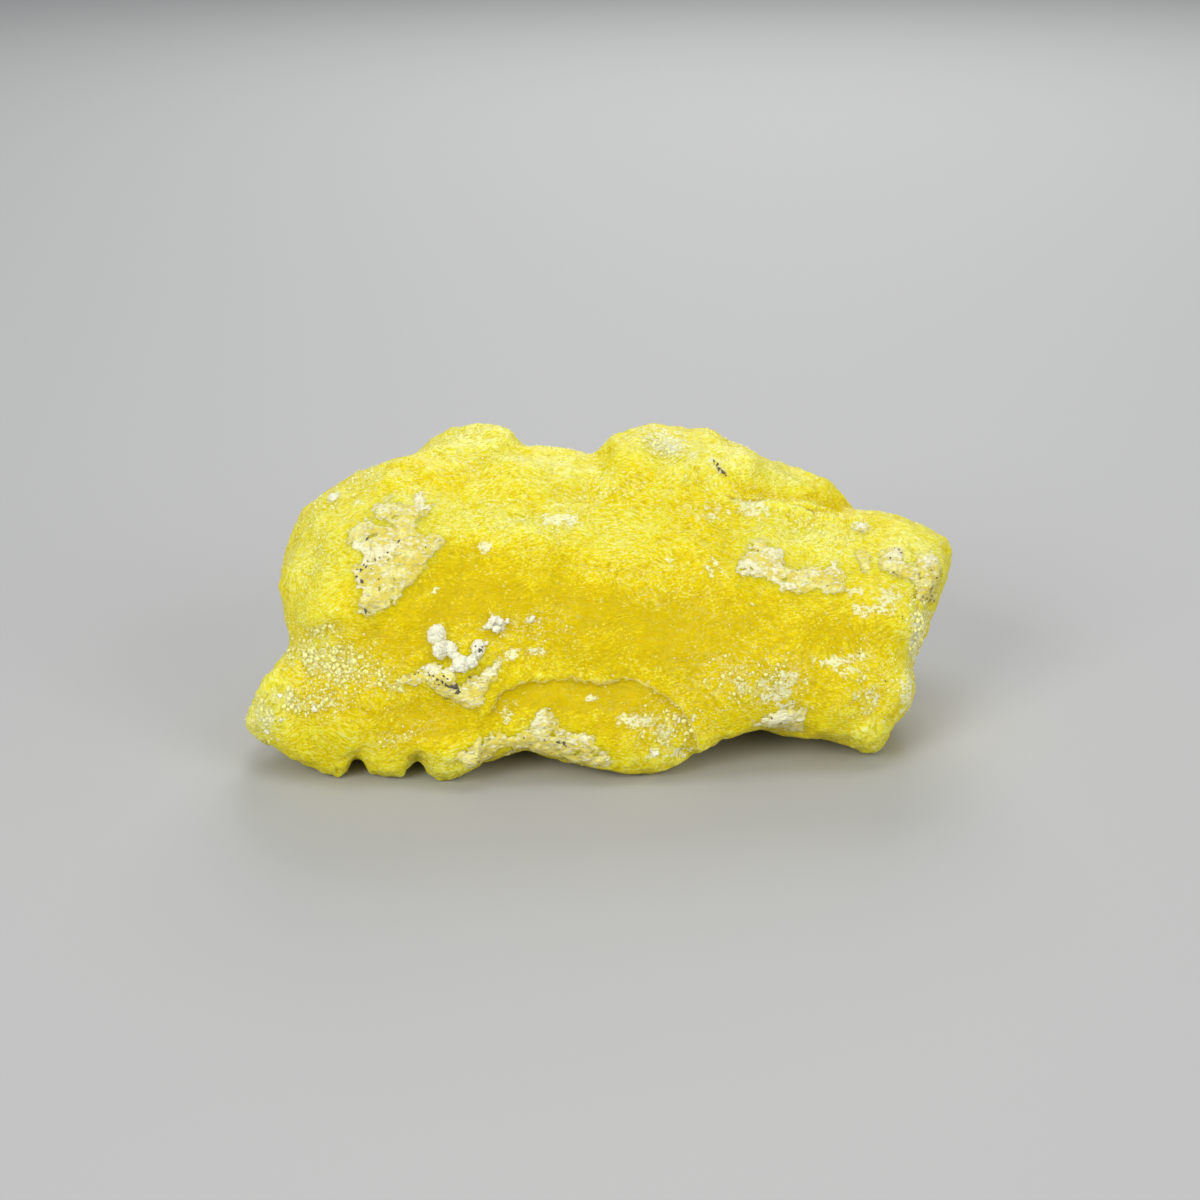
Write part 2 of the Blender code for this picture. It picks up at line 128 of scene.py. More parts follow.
camera = placed("camera", bpy.data.cameras.new("camera"))
camera.data.sensor_width = 36
camera.data.lens = 72
camera.data.clip_start = 0.01
camera.location = FRONT.eye
camera.rotation_euler = (math.radians(90 - VIEW_TILT), 0, 0)
bpy.context.scene.camera = camera
print("lens:", camera.data.lens, "mm on a sensor of", camera.data.sensor_width, "mm")

# %% Floor and lights
FLOOR_HALF = 3.0
FLOOR_COLOUR, FLOOR_ROUGHNESS = (0.46, 0.46, 0.455), 0.7
SKY_COLOUR, SKY_STRENGTH = (0.95, 0.97, 1.0), 0.38
LIGHTS = {  # places and widths in metres, turns in degrees
    "over": dict(place=(0.0, -0.05, 0.55), turn=(5, 0, 0), width=0.25, watts=0.60),
    "front left": dict(place=(-0.35, -0.50, 0.35), turn=(62, 0, -35), width=0.3, watts=2.42),
    "front right": dict(place=(0.45, -0.40, 0.30), turn=(62, 0, 48), width=0.4, watts=1.54),
    "behind": dict(place=(0.05, 0.50, 0.35), turn=(-58, 0, 4), width=0.3, watts=1.35),
}

floor = placed("floor", bpy.data.meshes.new("floor"))
corners = [(x * FLOOR_HALF, y * FLOOR_HALF, 0) for x, y in ((-1, -1), (1, -1), (1, 1), (-1, 1))]
floor.data.from_pydata(corners, [], [(0, 1, 2, 3)])
floor.data.materials.append(bpy.data.materials.new("floor"))
floor.active_material.use_nodes = True
matt = floor.active_material.node_tree.nodes["Principled BSDF"].inputs
matt["Base Color"].default_value = (*FLOOR_COLOUR, 1)
matt["Roughness"].default_value = FLOOR_ROUGHNESS

for name, light in LIGHTS.items():
    lamp = placed(name, bpy.data.lights.new(name, "AREA"))
    lamp.data.size = light["width"]
    lamp.data.energy = light["watts"]
    lamp.location = light["place"]
    lamp.rotation_euler = [math.radians(angle) for angle in light["turn"]]

world = bpy.data.worlds.new("world")
world.use_nodes = True
around = world.node_tree.nodes["Background"].inputs
around["Color"].default_value = (*SKY_COLOUR, 1)
around["Strength"].default_value = SKY_STRENGTH
bpy.context.scene.world = world
bpy.context.scene.view_settings.view_transform = "Standard"
print("lights:", ", ".join(LIGHTS))

# %% [markdown]
# ## A fine skin over the CAD solid
#
# The solid arrives as loose triangles. A copy is welded, rounded by two levels of Subdivision Surface and
# then rebuilt by a voxel Remesh, which gives even faces about 0.3 mm wide, small enough for the sugary
# relief that comes next. Sculpting by hand could do the same, but it couldn't be run again.

# %% Welded copy, fine skin
WELD = 1e-7
SKIN_CELL = 0.318 * MM


def applied(draft):
    """The mesh that an object's modifiers make. The object itself is removed."""
    graph = bpy.context.evaluated_depsgraph_get()
    mesh = bpy.data.meshes.new_from_object(draft.evaluated_get(graph))
    bpy.data.objects.remove(draft)
    return mesh


coarse = bpy.data.meshes.new("coarse skin")
shape = bmesh.new()
shape.from_mesh(cad_mass.data)
bmesh.ops.remove_doubles(shape, verts=shape.verts[:], dist=WELD)
shape.to_mesh(coarse)
shape.free()

draft = placed("draft", coarse)
rounding = draft.modifiers.new("Rounding", "SUBSURF")
rounding.levels = rounding.render_levels = 2
even = draft.modifiers.new("Even faces", "REMESH")
even.mode = "VOXEL"
even.voxel_size = SKIN_CELL
even.use_smooth_shade = True
skin = applied(draft)
print(f"coarse skin: {len(coarse.vertices)} points; fine skin: {len(skin.vertices)} points")

# %% [markdown]
# ## How thick the stone is behind each point
#
# Where the stone is thin, light comes through and the yellow turns pale. So each point of the coarse skin
# sends rays inwards in a cone, and short rays add to its thinness, from 0 to 1. The fine skin takes the
# value from the nearest coarse face. The result is a vertex attribute that the material reads.

# %% Thinness
THIN_REACH = 4.5 * MM  # how deep light runs
THIN_RAYS = 20
THIN_CONE = math.radians(75)
RAY_START = 0.02 * MM  # how far under the skin each ray starts


def tree_of(mesh):
    """A search tree of a mesh's faces."""
    return BVHTree.FromPolygons(
        [vert.co for vert in mesh.vertices], [tuple(face.vertices) for face in mesh.polygons]
    )


def cone_of_rays(count, spread):
    """Directions spread evenly over a cone round +Z."""
    golden = math.pi * (3 - math.sqrt(5))
    rays = []
    for k in range(count):
        tilt = spread * math.sqrt((k + 0.5) / count)
        rays.append(Vector((0, 0, 1)))
        rays[-1].rotate(Euler((tilt, 0, 0)))
        rays[-1].rotate(Euler((0, 0, golden * k)))
    return rays


def thinness(mesh, tree):
    """For each point of a closed mesh, how soon light that enters there comes out again."""
    cone = cone_of_rays(THIN_RAYS, THIN_CONE)
    values = []
    for vert in mesh.vertices:
        turn = (-vert.normal).to_track_quat("Z", "Y")
        start = vert.co - vert.normal * RAY_START
        total = 0.0
        for ray in cone:
            length = tree.ray_cast(start, turn @ ray)[3]
            total += math.exp(-(length or 0.0) / THIN_REACH)
        values.append(total / THIN_RAYS)
    return values


def carried_over(places, mesh, tree, values):
    """The values of a coarse mesh's points at other places near it."""
    carried = []
    for place in places:
        found, _, index, _ = tree.find_nearest(place)
        a, b, c = mesh.polygons[index].vertices
        corners = [mesh.vertices[k].co for k in (a, b, c)]
        shares = barycentric_transform(found, *corners, *(Vector(axis) for axis in np.eye(3)))
        carried.append(sum(share * values[k] for share, k in zip(shares, (a, b, c))))
    return carried


coarse_tree = tree_of(coarse)
coarse_thin = thinness(coarse, coarse_tree)
thin = np.array(carried_over([v.co for v in skin.vertices], coarse, coarse_tree, coarse_thin))
print("thinness, lowest, middle and highest:", np.round(np.quantile(thin, (0, 0.5, 1)), 3))

# %% [markdown]
# ## Where the skin is frosted, filmed or clear
#
# Grains, pale films and the yellow itself are not even over the stone. Soft-edged patches on the two maps
# say where. "Frost" is how densely white grains sit, and "film" how strongly a thin pale film shows. "Tone"
# is how much paler or deeper the yellow is, mostly by how much clear stone lies behind, and partly painted
# light and shade: paler on tops that face up and on thin rims, deeper on the front below the brow and under
# the ledge over the middle lip. "Nicked" is how easily chips break off the rim. A patch counts only where the
# skin faces that map's eye, except for nicks, which go right round a rim. Noise adds to frost, film and tone,
# most of all where the skin is turned away from the front map's eye, so that no side is bare.

# %% Patches on the maps
# u, v, reach along, reach across, turn in degrees, strength
FROST = {
    "front": [
        (-26.8, -6.4, 6.2, 3.2, -15, 1.0), (-30.5, -10.2, 2.8, 1.6, -20, 1.1),
        (-33.6, -11.5, 1.3, 2.6, 20, 0.9), (-27.5, -10.2, 4.2, 2.2, -8, 0.9),
        (-20.5, -8.7, 1.8, 1.0, 0, 0.85), (-22.5, -8.0, 3.2, 1.8, -15, 0.75),
        (-27.9, -3.2, 2.4, 1.0, 12, 0.9), (-20.5, -13.8, 3.6, 1.0, 20, 0.65), (6.0, 15.5, 3.5, 1.6, -20, 1.0),
        (12.0, 9.0, 6.0, 3.0, 10, 0.5), (16.0, -8.0, 7.0, 3.4, 0, 0.7), (26.5, -8.5, 4.0, 5.0, 0, 0.6),
        (6.5, -13.0, 4.0, 3.0, 0, 0.8), (22.0, 7.0, 6.0, 2.0, -15, 0.5), (-4.0, 9.0, 5.0, 2.0, 0, 0.4),
        (32.0, -4.0, 1.4, 6.5, 6, 1.05), (-27.5, 9.0, 2.2, 5.0, -35, 0.55), (-24.0, 11.8, 4.0, 1.4, 32, 0.55),
        (7.0, 1.0, 6.0, 2.5, -20, 0.3), (14.0, -2.0, 8.0, 3.0, -8, 0.25), (-8.0, -3.0, 6.0, 1.8, 10, 0.40),
        (-10.0, 8.5, 12.0, 2.6, -4, 0.45), (-13.0, 14.5, 5.0, 2.5, 0, 0.45), (0.0, 11.0, 8.0, 3.0, 0, 0.45),
        (12.0, 11.0, 9.0, 4.0, -18, 0.5), (-28.5, 4.0, 4.0, 7.0, -20, 0.35), (30.0, 1.0, 4.0, 3.0, 0, 0.45),
    ],
    "behind": [
        (-18.0, 2.0, 9.0, 5.0, 20, 0.6), (12.0, -3.0, 8.0, 5.0, -15, 0.7), (2.0, 9.0, 10.0, 3.0, 0, 0.5),
        (27.0, -6.0, 5.0, 5.0, 0, 0.8),
    ],
}
FILM = {
    "front": [
        (25.3, 1.0, 1.2, 0.8, 0, 0.7), (28.6, 0.2, 2.2, 1.8, 20, 0.7), (27.0, -1.0, 2.0, 1.0, 0, 0.6),
        (24.5, -6.0, 3.2, 0.8, 8, 0.7), (17.5, -9.0, 2.6, 1.6, 0, 0.65), (26.8, -10.2, 1.6, 1.2, 0, 0.6),
        (18.8, -12.1, 2.0, 1.0, 10, 1.0), (15.2, 9.3, 2.0, 1.0, -10, 0.65), (-4.0, 8.0, 2.2, 0.8, 0, 0.85),
        (7.0, 15.8, 3.0, 1.4, -25, 0.75), (-9.6, -11.2, 1.0, 1.6, 10, 0.6), (-26.6, 10.3, 1.0, 0.8, 0, 0.7),
        (-24.2, 9.8, 0.7, 0.5, 0, 0.6), (26.1, 7.3, 1.1, 0.6, -8, 0.9), (-11.5, 5.2, 0.8, 0.6, 0, 0.7),
        (-33.0, -12.0, 1.6, 1.6, 0, 0.4), (-27.5, -5.0, 2.2, 1.0, 15, 0.3), (11.0, 3.2, 1.3, 1.3, 0, 0.55),
        (7.3, 3.9, 0.8, 0.8, 0, 0.6), (-10.3, -2.4, 1.2, 1.0, 0, 0.7), (-6.8, -2.0, 1.2, 0.6, 10, 0.6),
        (32.0, -3.8, 1.0, 3.4, -5, 0.9), (30.9, -9.5, 1.0, 2.8, 0, 0.8), (-8.8, -5.5, 1.2, 0.5, 15, 0.9),
        (-6.4, -5.3, 1.3, 0.6, 12, 0.85), (3.4, -11.8, 1.6, 0.5, -15, 0.8), (5.8, -12.6, 0.9, 0.4, 0, 0.7),
        (6.8, -13.6, 0.5, 0.7, 0, 0.7), (7.9, -12.0, 0.5, 0.4, 0, 0.6), (5.5, -15.3, 0.8, 0.6, 0, 0.8),
        (7.8, -15.5, 0.8, 0.5, 0, 0.7), (11.5, 13.4, 1.8, 0.5, -38, 0.7), (11.3, 8.7, 2.0, 1.0, -10, 0.6),
        (-16.4, 0.9, 0.6, 0.5, 0, 0.7), (-1.0, -9.8, 0.9, 0.5, 20, 0.6), (14.0, -8.6, 0.9, 0.9, 0, 0.7),
        (19.5, -7.8, 1.8, 0.7, -20, 0.6), (24.8, -7.0, 1.4, 0.6, 10, 0.7), (4.0, -12.2, 2.4, 0.7, -12, 0.8),
        (6.5, -13.6, 0.9, 1.0, -30, 0.8), (8.0, -15.2, 1.4, 0.7, 10, 0.7),
    ],
    "behind": [
        (-8.0, 4.0, 4.0, 1.6, 25, 0.7), (16.0, 3.0, 3.0, 2.0, -20, 0.7), (24.0, -4.0, 2.0, 3.0, 0, 0.6),
    ],
}
# Where the yellow is paler than usual, partly painted light on tops that face up and on thin rims, and where
# it is deeper, partly painted shade on the front below the brow and under the ledge over the middle lip
PALER_OR_LIT = {
    "front": [
        (-28.0, 4.0, 4.5, 8.5, -20, 0.62), (-13.0, 15.8, 6.0, 2.2, 0, 0.75),
        (-10.0, 8.0, 13.0, 2.6, -4, 0.62), (12.0, 13.5, 12.0, 4.0, -18, 0.72),
        (20.0, 6.5, 9.0, 3.0, -10, 0.55), (31.0, 4.0, 4.0, 5.0, 0, 0.70), (-4.0, 13.0, 8.0, 2.5, 0, 0.55),
        (-25.5, -14.0, 8.0, 1.8, -14, 0.50), (-33.0, -10.5, 2.5, 4.0, -30, 0.75),
        (-29.0, -5.0, 4.0, 1.5, 30, 0.50), (31.5, -6.0, 1.8, 7.0, 8, 0.60),
        (26.0, -12.5, 4.0, 1.6, -12, 0.45), (17.5, 12.2, 4.0, 2.0, -25, 1.0),
        (-15.5, -16.5, 2.5, 1.6, 0, 0.40), (4.0, -15.5, 6.0, 1.6, 0, 0.30), (3.0, 7.0, 8.0, 3.0, 0, 0.30),
    ],
    "behind": [
        (0.0, 13.0, 26.0, 3.5, 0, 0.6), (-30.0, 2.0, 4.0, 8.0, 0, 0.5), (20.0, -4.0, 7.0, 5.0, 0, 0.4),
    ],
}
DEEPER_OR_SHADED = {
    "front": [
        (-27.0, -9.5, 5.0, 4.0, -10, 0.30), (-13.0, 0.5, 8.0, 3.4, 12, 0.55),
        (-4.0, -1.5, 10.0, 4.0, -6, 0.60), (8.0, -3.5, 9.0, 4.5, -10, 0.70), (14.0, -6.0, 6.0, 3.5, 0, 0.45),
        (-17.5, -12.5, 4.5, 3.0, 20, 0.85), (2.0, -12.8, 5.0, 2.2, -5, 0.45),
        (-20.0, -4.6, 6.0, 1.6, -6, 0.50), (-1.0, -9.8, 8.0, 1.5, -2, 0.95),
        (5.0, -11.0, 4.0, 2.0, -30, 0.50), (22.0, -3.6, 6.0, 2.2, 0, 0.30), (12.0, -1.0, 6.0, 2.0, 0, 0.30),
    ],
    "behind": [(-6.0, -4.0, 10.0, 4.0, 10, 0.5), (8.0, 2.0, 9.0, 3.0, -10, 0.4)],
}
NICKED = [
    (34.2, 2.0, 1.2, 5.0, 5, 1.0), (32.6, -6.0, 1.6, 5.5, 5, 1.0), (31.0, -12.0, 2.0, 1.6, 0, 0.8),
    (-27.5, 10.5, 7.0, 1.4, 42, 0.6), (-13.0, 17.6, 6.0, 1.2, 0, 0.4), (12.0, 16.5, 6.0, 1.2, -20, 0.7),
    (21.0, 11.5, 5.0, 1.2, -32, 0.8), (29.0, 9.2, 6.0, 1.0, -14, 0.8), (-33.0, -2.0, 1.4, 5.0, -10, 0.5),
    (-33.0, -8.0, 1.6, 4.0, -40, 0.5), (-1.0, 14.0, 8.0, 1.0, -4, 0.5),
]
PATCH_START, PATCH_FULL = 0.05, 0.35  # how squarely the skin faces the eye where patches set in


def points_of(mesh):
    """The places and normals of a mesh's points, as two arrays."""
    arrays = []
    for attribute in ("co", "normal"):
        values = np.zeros(3 * len(mesh.vertices), np.float32)
        mesh.vertices.foreach_get(attribute, values)
        arrays.append(values.reshape(-1, 3).astype(float))
    return arrays


def ramp(value, start, end):
    """0 before start and 1 after end, with a soft run between them."""
    share = np.clip((value - start) / (end - start), 0, 1)
    return share * share * (3 - 2 * share)


def patches_on(spots, facing, patches):
    """The strength of the strongest patch at each spot of a map, where the skin faces its eye."""
    strongest = np.zeros(len(spots))
    for u, v, along, across, turn, strength in patches:
        c, s = math.cos(math.radians(turn)), math.sin(math.radians(turn))
        away_u, away_v = spots[:, 0] - u, spots[:, 1] - v
        x, y = (c * away_u + s * away_v) / along, (c * away_v - s * away_u) / across
        strongest = np.maximum(strongest, strength * np.exp(-(x**2) - y**2))
    return strongest * ramp(facing, PATCH_START, PATCH_FULL)


def patchwork(places, normals, patches):
    """The strength of the patches of both maps at each point."""
    total = np.zeros(len(places))
    for side, view in SIDES:
        facing = normals @ np.array(view.out)
        total = np.maximum(total, patches_on(view.where(places), facing, patches[side]))
    return total


for label, table in (("frost", FROST), ("film", FILM), ("pale", PALER_OR_LIT), ("deep", DEEPER_OR_SHADED)):
    print(f"patches of {label}: {len(table['front'])} in front and {len(table['behind'])} behind")

# %% [markdown]
# ## Ledges and grooves
#
# In a few places the skin steps down along a line, or is cut by a groove. The lines are drawn on the front
# map, and noise makes them wander. The skin will be lifted and lowered along them, and the material gives
# a ledge a painted highlight along its edge and a painted shadow beneath, so each point also gets its
# distance from the nearest ledge.

# %% Lines on the front map
# Where the skin steps down on the right of a line, seen along it, or is cut by a groove:
# line, step, groove and how far the step fades out, in millimetres
CREASES = {
    "over the middle lip": (
        [
            (-10.6, -10.6), (-9.3, -9.2), (-8.2, -8.6), (-6.0, -8.0), (-3.0, -7.8), (-1.0, -8.1), (1.0, -8.2),
            (3.0, -8.0), (5.0, -8.7), (6.6, -9.8), (8.0, -11.0), (9.2, -12.8), (9.7, -14.8),
        ],
        0.24, 0.05, 2.0,
    ),
    "behind the right shoulder": (
        [
            (25.2, 8.7), (23.4, 8.9), (21.5, 9.1), (20.0, 9.6), (18.4, 9.9), (16.8, 10.0), (15.2, 10.3),
            (13.2, 10.4),
        ],
        0.35, 0.35, 1.6,
    ),
    "left brow": ([(-15.6, 5.2), (-13.0, 5.6), (-10.0, 5.2), (-7.0, 5.6), (-3.0, 5.0)], 0.08, 0.0, 2.4),
    "fin and body": ([(-29.8, -4.2), (-26.5, -3.2), (-23.0, -3.4), (-20.0, -4.4)], -0.1, 0.05, 1.8),
    "right end": ([(24.2, 8.6), (24.8, 6.8), (24.4, 5.0)], 0.15, 0.1, 1.5),
    "below the right end": ([(33.9, -0.3), (33.0, -0.1), (32.2, 0.3), (31.6, 0.4)], 0.0, 0.25, 1.0),
}
CREASE_WIDTH = 0.28
CREASE_REACH = 3.0  # how far from a crease the material still knows of it
CREASE_CUT = 0.7  # share of a step that is cut away on its right; the rest is added on its left
CREASE_WANDER = ((0.35, 1.6, 5.0), (0.15, 0.6, 9.0))  # how far noise moves the lines, its size and its shift
LEAST_LEDGE = 0.20  # a lower step gets no painted highlight along its edge and no painted shadow beneath
NOISE_GAIN = 1.6  # spreads the noise over about -1 to 1


def noise_over(places, size, shift):
    """Smooth noise from about -1 to 1 at many places, with lumps of a size in millimetres."""
    aside = Vector((shift, 0, 0))
    return np.array([noise.noise(Vector(place) / (size * MM) + aside) for place in places]) * NOISE_GAIN


def side_of(spots, line):
    """How far each spot of a map lies from a line of straight runs, and on which side: left is positive."""
    nearest, side = np.full(len(spots), np.inf), np.ones(len(spots))
    for a, b in zip(np.array(line), np.array(line[1:])):
        run = b - a
        share = np.clip((spots - a) @ run / (run @ run), 0, 1)
        away = spots - (a + share[:, None] * run)
        far = np.linalg.norm(away, axis=1)
        closer = far < nearest
        nearest[closer] = far[closer]
        side[closer] = np.sign(run[0] * away[closer, 1] - run[1] * away[closer, 0])
    return nearest * side


def crease_heights(places, normals):
    """How far the creases lift the skin at each point, and how far left of the nearest ledge it lies."""
    heights, nearest = np.zeros(len(places)), np.full(len(places), CREASE_REACH)
    spots = FRONT.where(places)
    spots[:, 1] += sum(reach * noise_over(places, size, shift) for reach, size, shift in CREASE_WANDER)
    facing = ramp(normals @ np.array(FRONT.out), PATCH_START, PATCH_FULL)
    for line, step, groove, reach in CREASES.values():
        side = side_of(spots[:, :2], line)
        fade = 1 - ramp(np.abs(side), 0, reach)
        left = ramp(side, -CREASE_WIDTH, CREASE_WIDTH)
        cut = groove * np.exp(-((side / CREASE_WIDTH) ** 2))
        heights += facing * (step * (left - CREASE_CUT) * fade - cut)
        closer = (np.abs(side) < np.abs(nearest)) & (facing > 0.5) & (step >= LEAST_LEDGE)
        nearest[closer] = side[closer]
    return heights, nearest


print("ledges and grooves:", ", ".join(CREASES))

# %% Values at each point of the skin
THIN_START, THIN_FULL = 0.03, 0.30  # of the measured thinness that the material tells apart
TONE_DRIFT = 0.15
FROST_EVERYWHERE, FROST_DRIFT, LEAST_FROST = 0.08, 0.13, 0.03
SIDE_FROST, SIDE_FROST_DRIFT = 0.02, 0.24  # more of both where the skin is turned away
FROST_BARE, FROST_GROWN = 0.2, 1.6  # heights over the ground, in millimetres, between which frost sets in
FILM_DRIFT, SIDE_FILM_DRIFT = 0.12, 0.26


def set_value(mesh, name, values):
    """Stores one number for each point of a mesh."""
    attribute = mesh.attributes.new(name, "FLOAT", "POINT")
    attribute.data.foreach_set("value", np.asarray(values, np.float32))


places, normals = points_of(skin)
drift = noise_over(places, 9.0, 3.0)
turned = 1 - ramp(normals @ np.array(FRONT.out), PATCH_START, PATCH_FULL)
heights, beside = crease_heights(places, normals)
frost = patchwork(places, normals, FROST) + FROST_EVERYWHERE + FROST_DRIFT * drift
frost += turned * (SIDE_FROST + SIDE_FROST_DRIFT * drift)
film_drift = (FILM_DRIFT + SIDE_FILM_DRIFT * turned) * noise_over(places, 5.0, 8.0)
set_value(skin, "crease", heights)
set_value(skin, "beside", np.clip(beside, -CREASE_REACH, CREASE_REACH))
set_value(skin, "thin", ramp(thin, THIN_START, THIN_FULL))
set_value(skin, "nicked", patches_on(FRONT.where(places), np.ones(len(places)), NICKED))
tone = patchwork(places, normals, PALER_OR_LIT) - patchwork(places, normals, DEEPER_OR_SHADED)
set_value(skin, "tone", tone + TONE_DRIFT * drift)
set_value(skin, "frost", np.clip(frost, LEAST_FROST, 1) * ramp(places[:, 2] / MM, FROST_BARE, FROST_GROWN))
set_value(skin, "film", np.clip(patchwork(places, normals, FILM) + film_drift, 0, 1))
stored_names = (value.name for value in skin.attributes if value.data_type == "FLOAT")
print("values at each point:", ", ".join(stored_names))

# %% [markdown]
# ## Building node trees
#
# Node trees are easier to read in a script when one line makes one node. The helpers below set a node's
# options, then give each input either a plain value or the output of an earlier node.


# %% Helpers for node trees
def feed(tree, node, inputs):
    """Gives a node plain values or other nodes' outputs, by the input's name or number."""
    for name, value in inputs.items():
        if isinstance(value, bpy.types.NodeSocket):
            tree.links.new(value, node.inputs[name])
        else:
            node.inputs[name].default_value = value
    return node


def add(tree, kind, inputs=None, **options):
    """Adds a node, with its inputs as in feed."""
    node = tree.nodes.new(kind)
    for name, value in options.items():
        setattr(node, name, value)
    return feed(tree, node, inputs or {})


def calc(tree, operation, a, b=0.0, c=0.0, clamp=False):
    """The output of a Math node."""
    return add(tree, "ShaderNodeMath", {0: a, 1: b, 2: c}, operation=operation, use_clamp=clamp).outputs[0]


def times(tree, a, b):
    """The product of two numbers."""
    return calc(tree, "MULTIPLY", a, b)


def fitted(tree, value, gain, shift, clamp=False):
    """A value times a gain plus a shift."""
    return calc(tree, "MULTIPLY_ADD", value, gain, shift, clamp)


def mask(tree, value, gain, shift):
    """A value times a gain plus a shift, kept between 0 and 1: a steep gain picks out its high places."""
    return fitted(tree, value, gain, shift, clamp=True)


def line_at(tree, value, middle, gain):
    """1 where a value passes its middle, less to each side of it, and 0 elsewhere."""
    away = calc(tree, "ABSOLUTE", calc(tree, "SUBTRACT", value, middle))
    return mask(tree, away, -gain, 1.0)


def vector(tree, operation, a, b, c=(0.0, 0.0, 0.0)):
    """The output of a Vector Math node on two or three vectors."""
    return add(tree, "ShaderNodeVectorMath", {0: a, 1: b, 2: c}, operation=operation).outputs[0]


def scaled(tree, a, scale):
    """A vector times a number."""
    return add(tree, "ShaderNodeVectorMath", {0: a, "Scale": scale}, operation="SCALE").outputs[0]


def noisy(tree, place, scale, detail=2.0):
    """A Noise Texture node, with a scale in lumps to a millimetre."""
    return add(tree, "ShaderNodeTexNoise", {"Vector": place, "Scale": scale, "Detail": detail})


def round_cells(tree, place, scale, smoothness):
    """A Voronoi Texture node with cells that run into each other softly."""
    inputs = {"Vector": place, "Scale": scale, "Smoothness": smoothness}
    return add(tree, "ShaderNodeTexVoronoi", inputs, feature="SMOOTH_F1")


def new_tree(name, kind, inputs, outputs):
    """An empty node group with named inputs and outputs: (tree, input sockets by name, output node)."""
    tree = bpy.data.node_groups.new(name, kind)
    for label, socket, default in inputs:
        made = tree.interface.new_socket(label, in_out="INPUT", socket_type=socket)
        if default is not None:
            made.default_value = default
    for label, socket in outputs:
        tree.interface.new_socket(label, in_out="OUTPUT", socket_type=socket)
    entry = tree.nodes.new("NodeGroupInput")
    return tree, {socket.name: socket for socket in entry.outputs}, tree.nodes.new("NodeGroupOutput")


# %% Helpers for Geometry Nodes
FLOAT, VECTOR, GEOMETRY = "NodeSocketFloat", "NodeSocketVector", "NodeSocketGeometry"
WHOLE, FINISH = "NodeSocketInt", "NodeSocketMaterial"


def stored(tree, name):
    """The output of a node that reads a number stored at each point."""
    return add(tree, "GeometryNodeInputNamedAttribute", {"Name": name}, data_type="FLOAT").outputs[0]


def run_nodes(mesh, tree, **values):
    """The mesh that a Geometry Nodes tree makes from another, with the tree's inputs given by name."""
    draft = placed("draft", mesh)
    modifier = draft.modifiers.new(tree.name, "NODES")
    modifier.node_group = tree
    for item in tree.interface.items_tree:
        if item.in_out == "INPUT" and item.name.replace(" ", "_") in values:
            modifier[item.identifier] = values[item.name.replace(" ", "_")]
    return applied(draft)


# %% [markdown]
# ## The sugary relief
#
# The skin has relief of several sizes. Domes a few millimetres wide lie in terraces, like the edges of thin
# plates. Pebbles lie on them, ripples run along the stone where it flowed as it grew, and chips are broken
# off where it is thin. A Geometry Nodes tree adds them up and moves each point along its normal. It keeps
# the skin inside the CAD box, and so also above the ground. It stores the height too, because the material
# darkens the hollows to a deeper gold as painted shade.

# %% Relief tree
WARP_SCALE, WARP_REACH = 0.35, (2.0, 2.0, 2.0)  # noise that bends the domes and ripples
RIPPLE_STRETCH = (0.45, 1.0, 1.0)
CELL_MIDDLE = 0.45  # about the mean distance from a cell's middle
PEBBLES_EVERYWHERE, PEBBLES_WHERE_THIN, PEBBLES_IN_FROST = 0.6, 1.2, 1.2
CHIP_SCALE, CHIP_DEPTH = 0.85, 0.32  # lumps of noise to a millimetre, and a depth in millimetres
CHIP_GAIN, CHIP_SHIFT = 8.0, -4.4  # these leave chips only where that noise is high
HEIGHT_GAIN, HEIGHT_SHIFT = 1.6, 0.5  # these bring the stored height between 0 and 1

relief, given, result = new_tree(
    "Sugary relief",
    "GeometryNodeTree",
    [
        ("Skin", GEOMETRY, None),
        ("Scale Size", FLOAT, 2.3),
        ("Scale Height", FLOAT, 0.26),
        ("Terrace Height", FLOAT, 0.22),
        ("Pebble Size", FLOAT, 1.05),
        ("Pebble Height", FLOAT, 0.18),
        ("Ripple Size", FLOAT, 0.85),
        ("Ripple Height", FLOAT, 0.16),
        ("Lowest", VECTOR, None),
        ("Highest", VECTOR, None),
    ],
    [("Skin", GEOMETRY)],
)
position = relief.nodes.new("GeometryNodeInputPosition").outputs[0]
in_mm = scaled(relief, position, 1 / MM)
fine = {name: calc(relief, "DIVIDE", 1.0, given[f"{name} Size"]) for name in ("Scale", "Pebble", "Ripple")}
frost, thin_here = stored(relief, "frost"), stored(relief, "thin")

warped = vector(relief, "MULTIPLY_ADD", noisy(relief, in_mm, WARP_SCALE).outputs["Color"], WARP_REACH, in_mm)
scales = round_cells(relief, warped, fine["Scale"], 0.35)
terraces = add(relief, "ShaderNodeSeparateXYZ", {0: scales.outputs["Color"]}).outputs[0]
pebbles = round_cells(relief, in_mm, fine["Pebble"], 0.6).outputs["Distance"]
ripples = noisy(relief, vector(relief, "MULTIPLY", warped, RIPPLE_STRETCH), fine["Ripple"]).outputs[0]

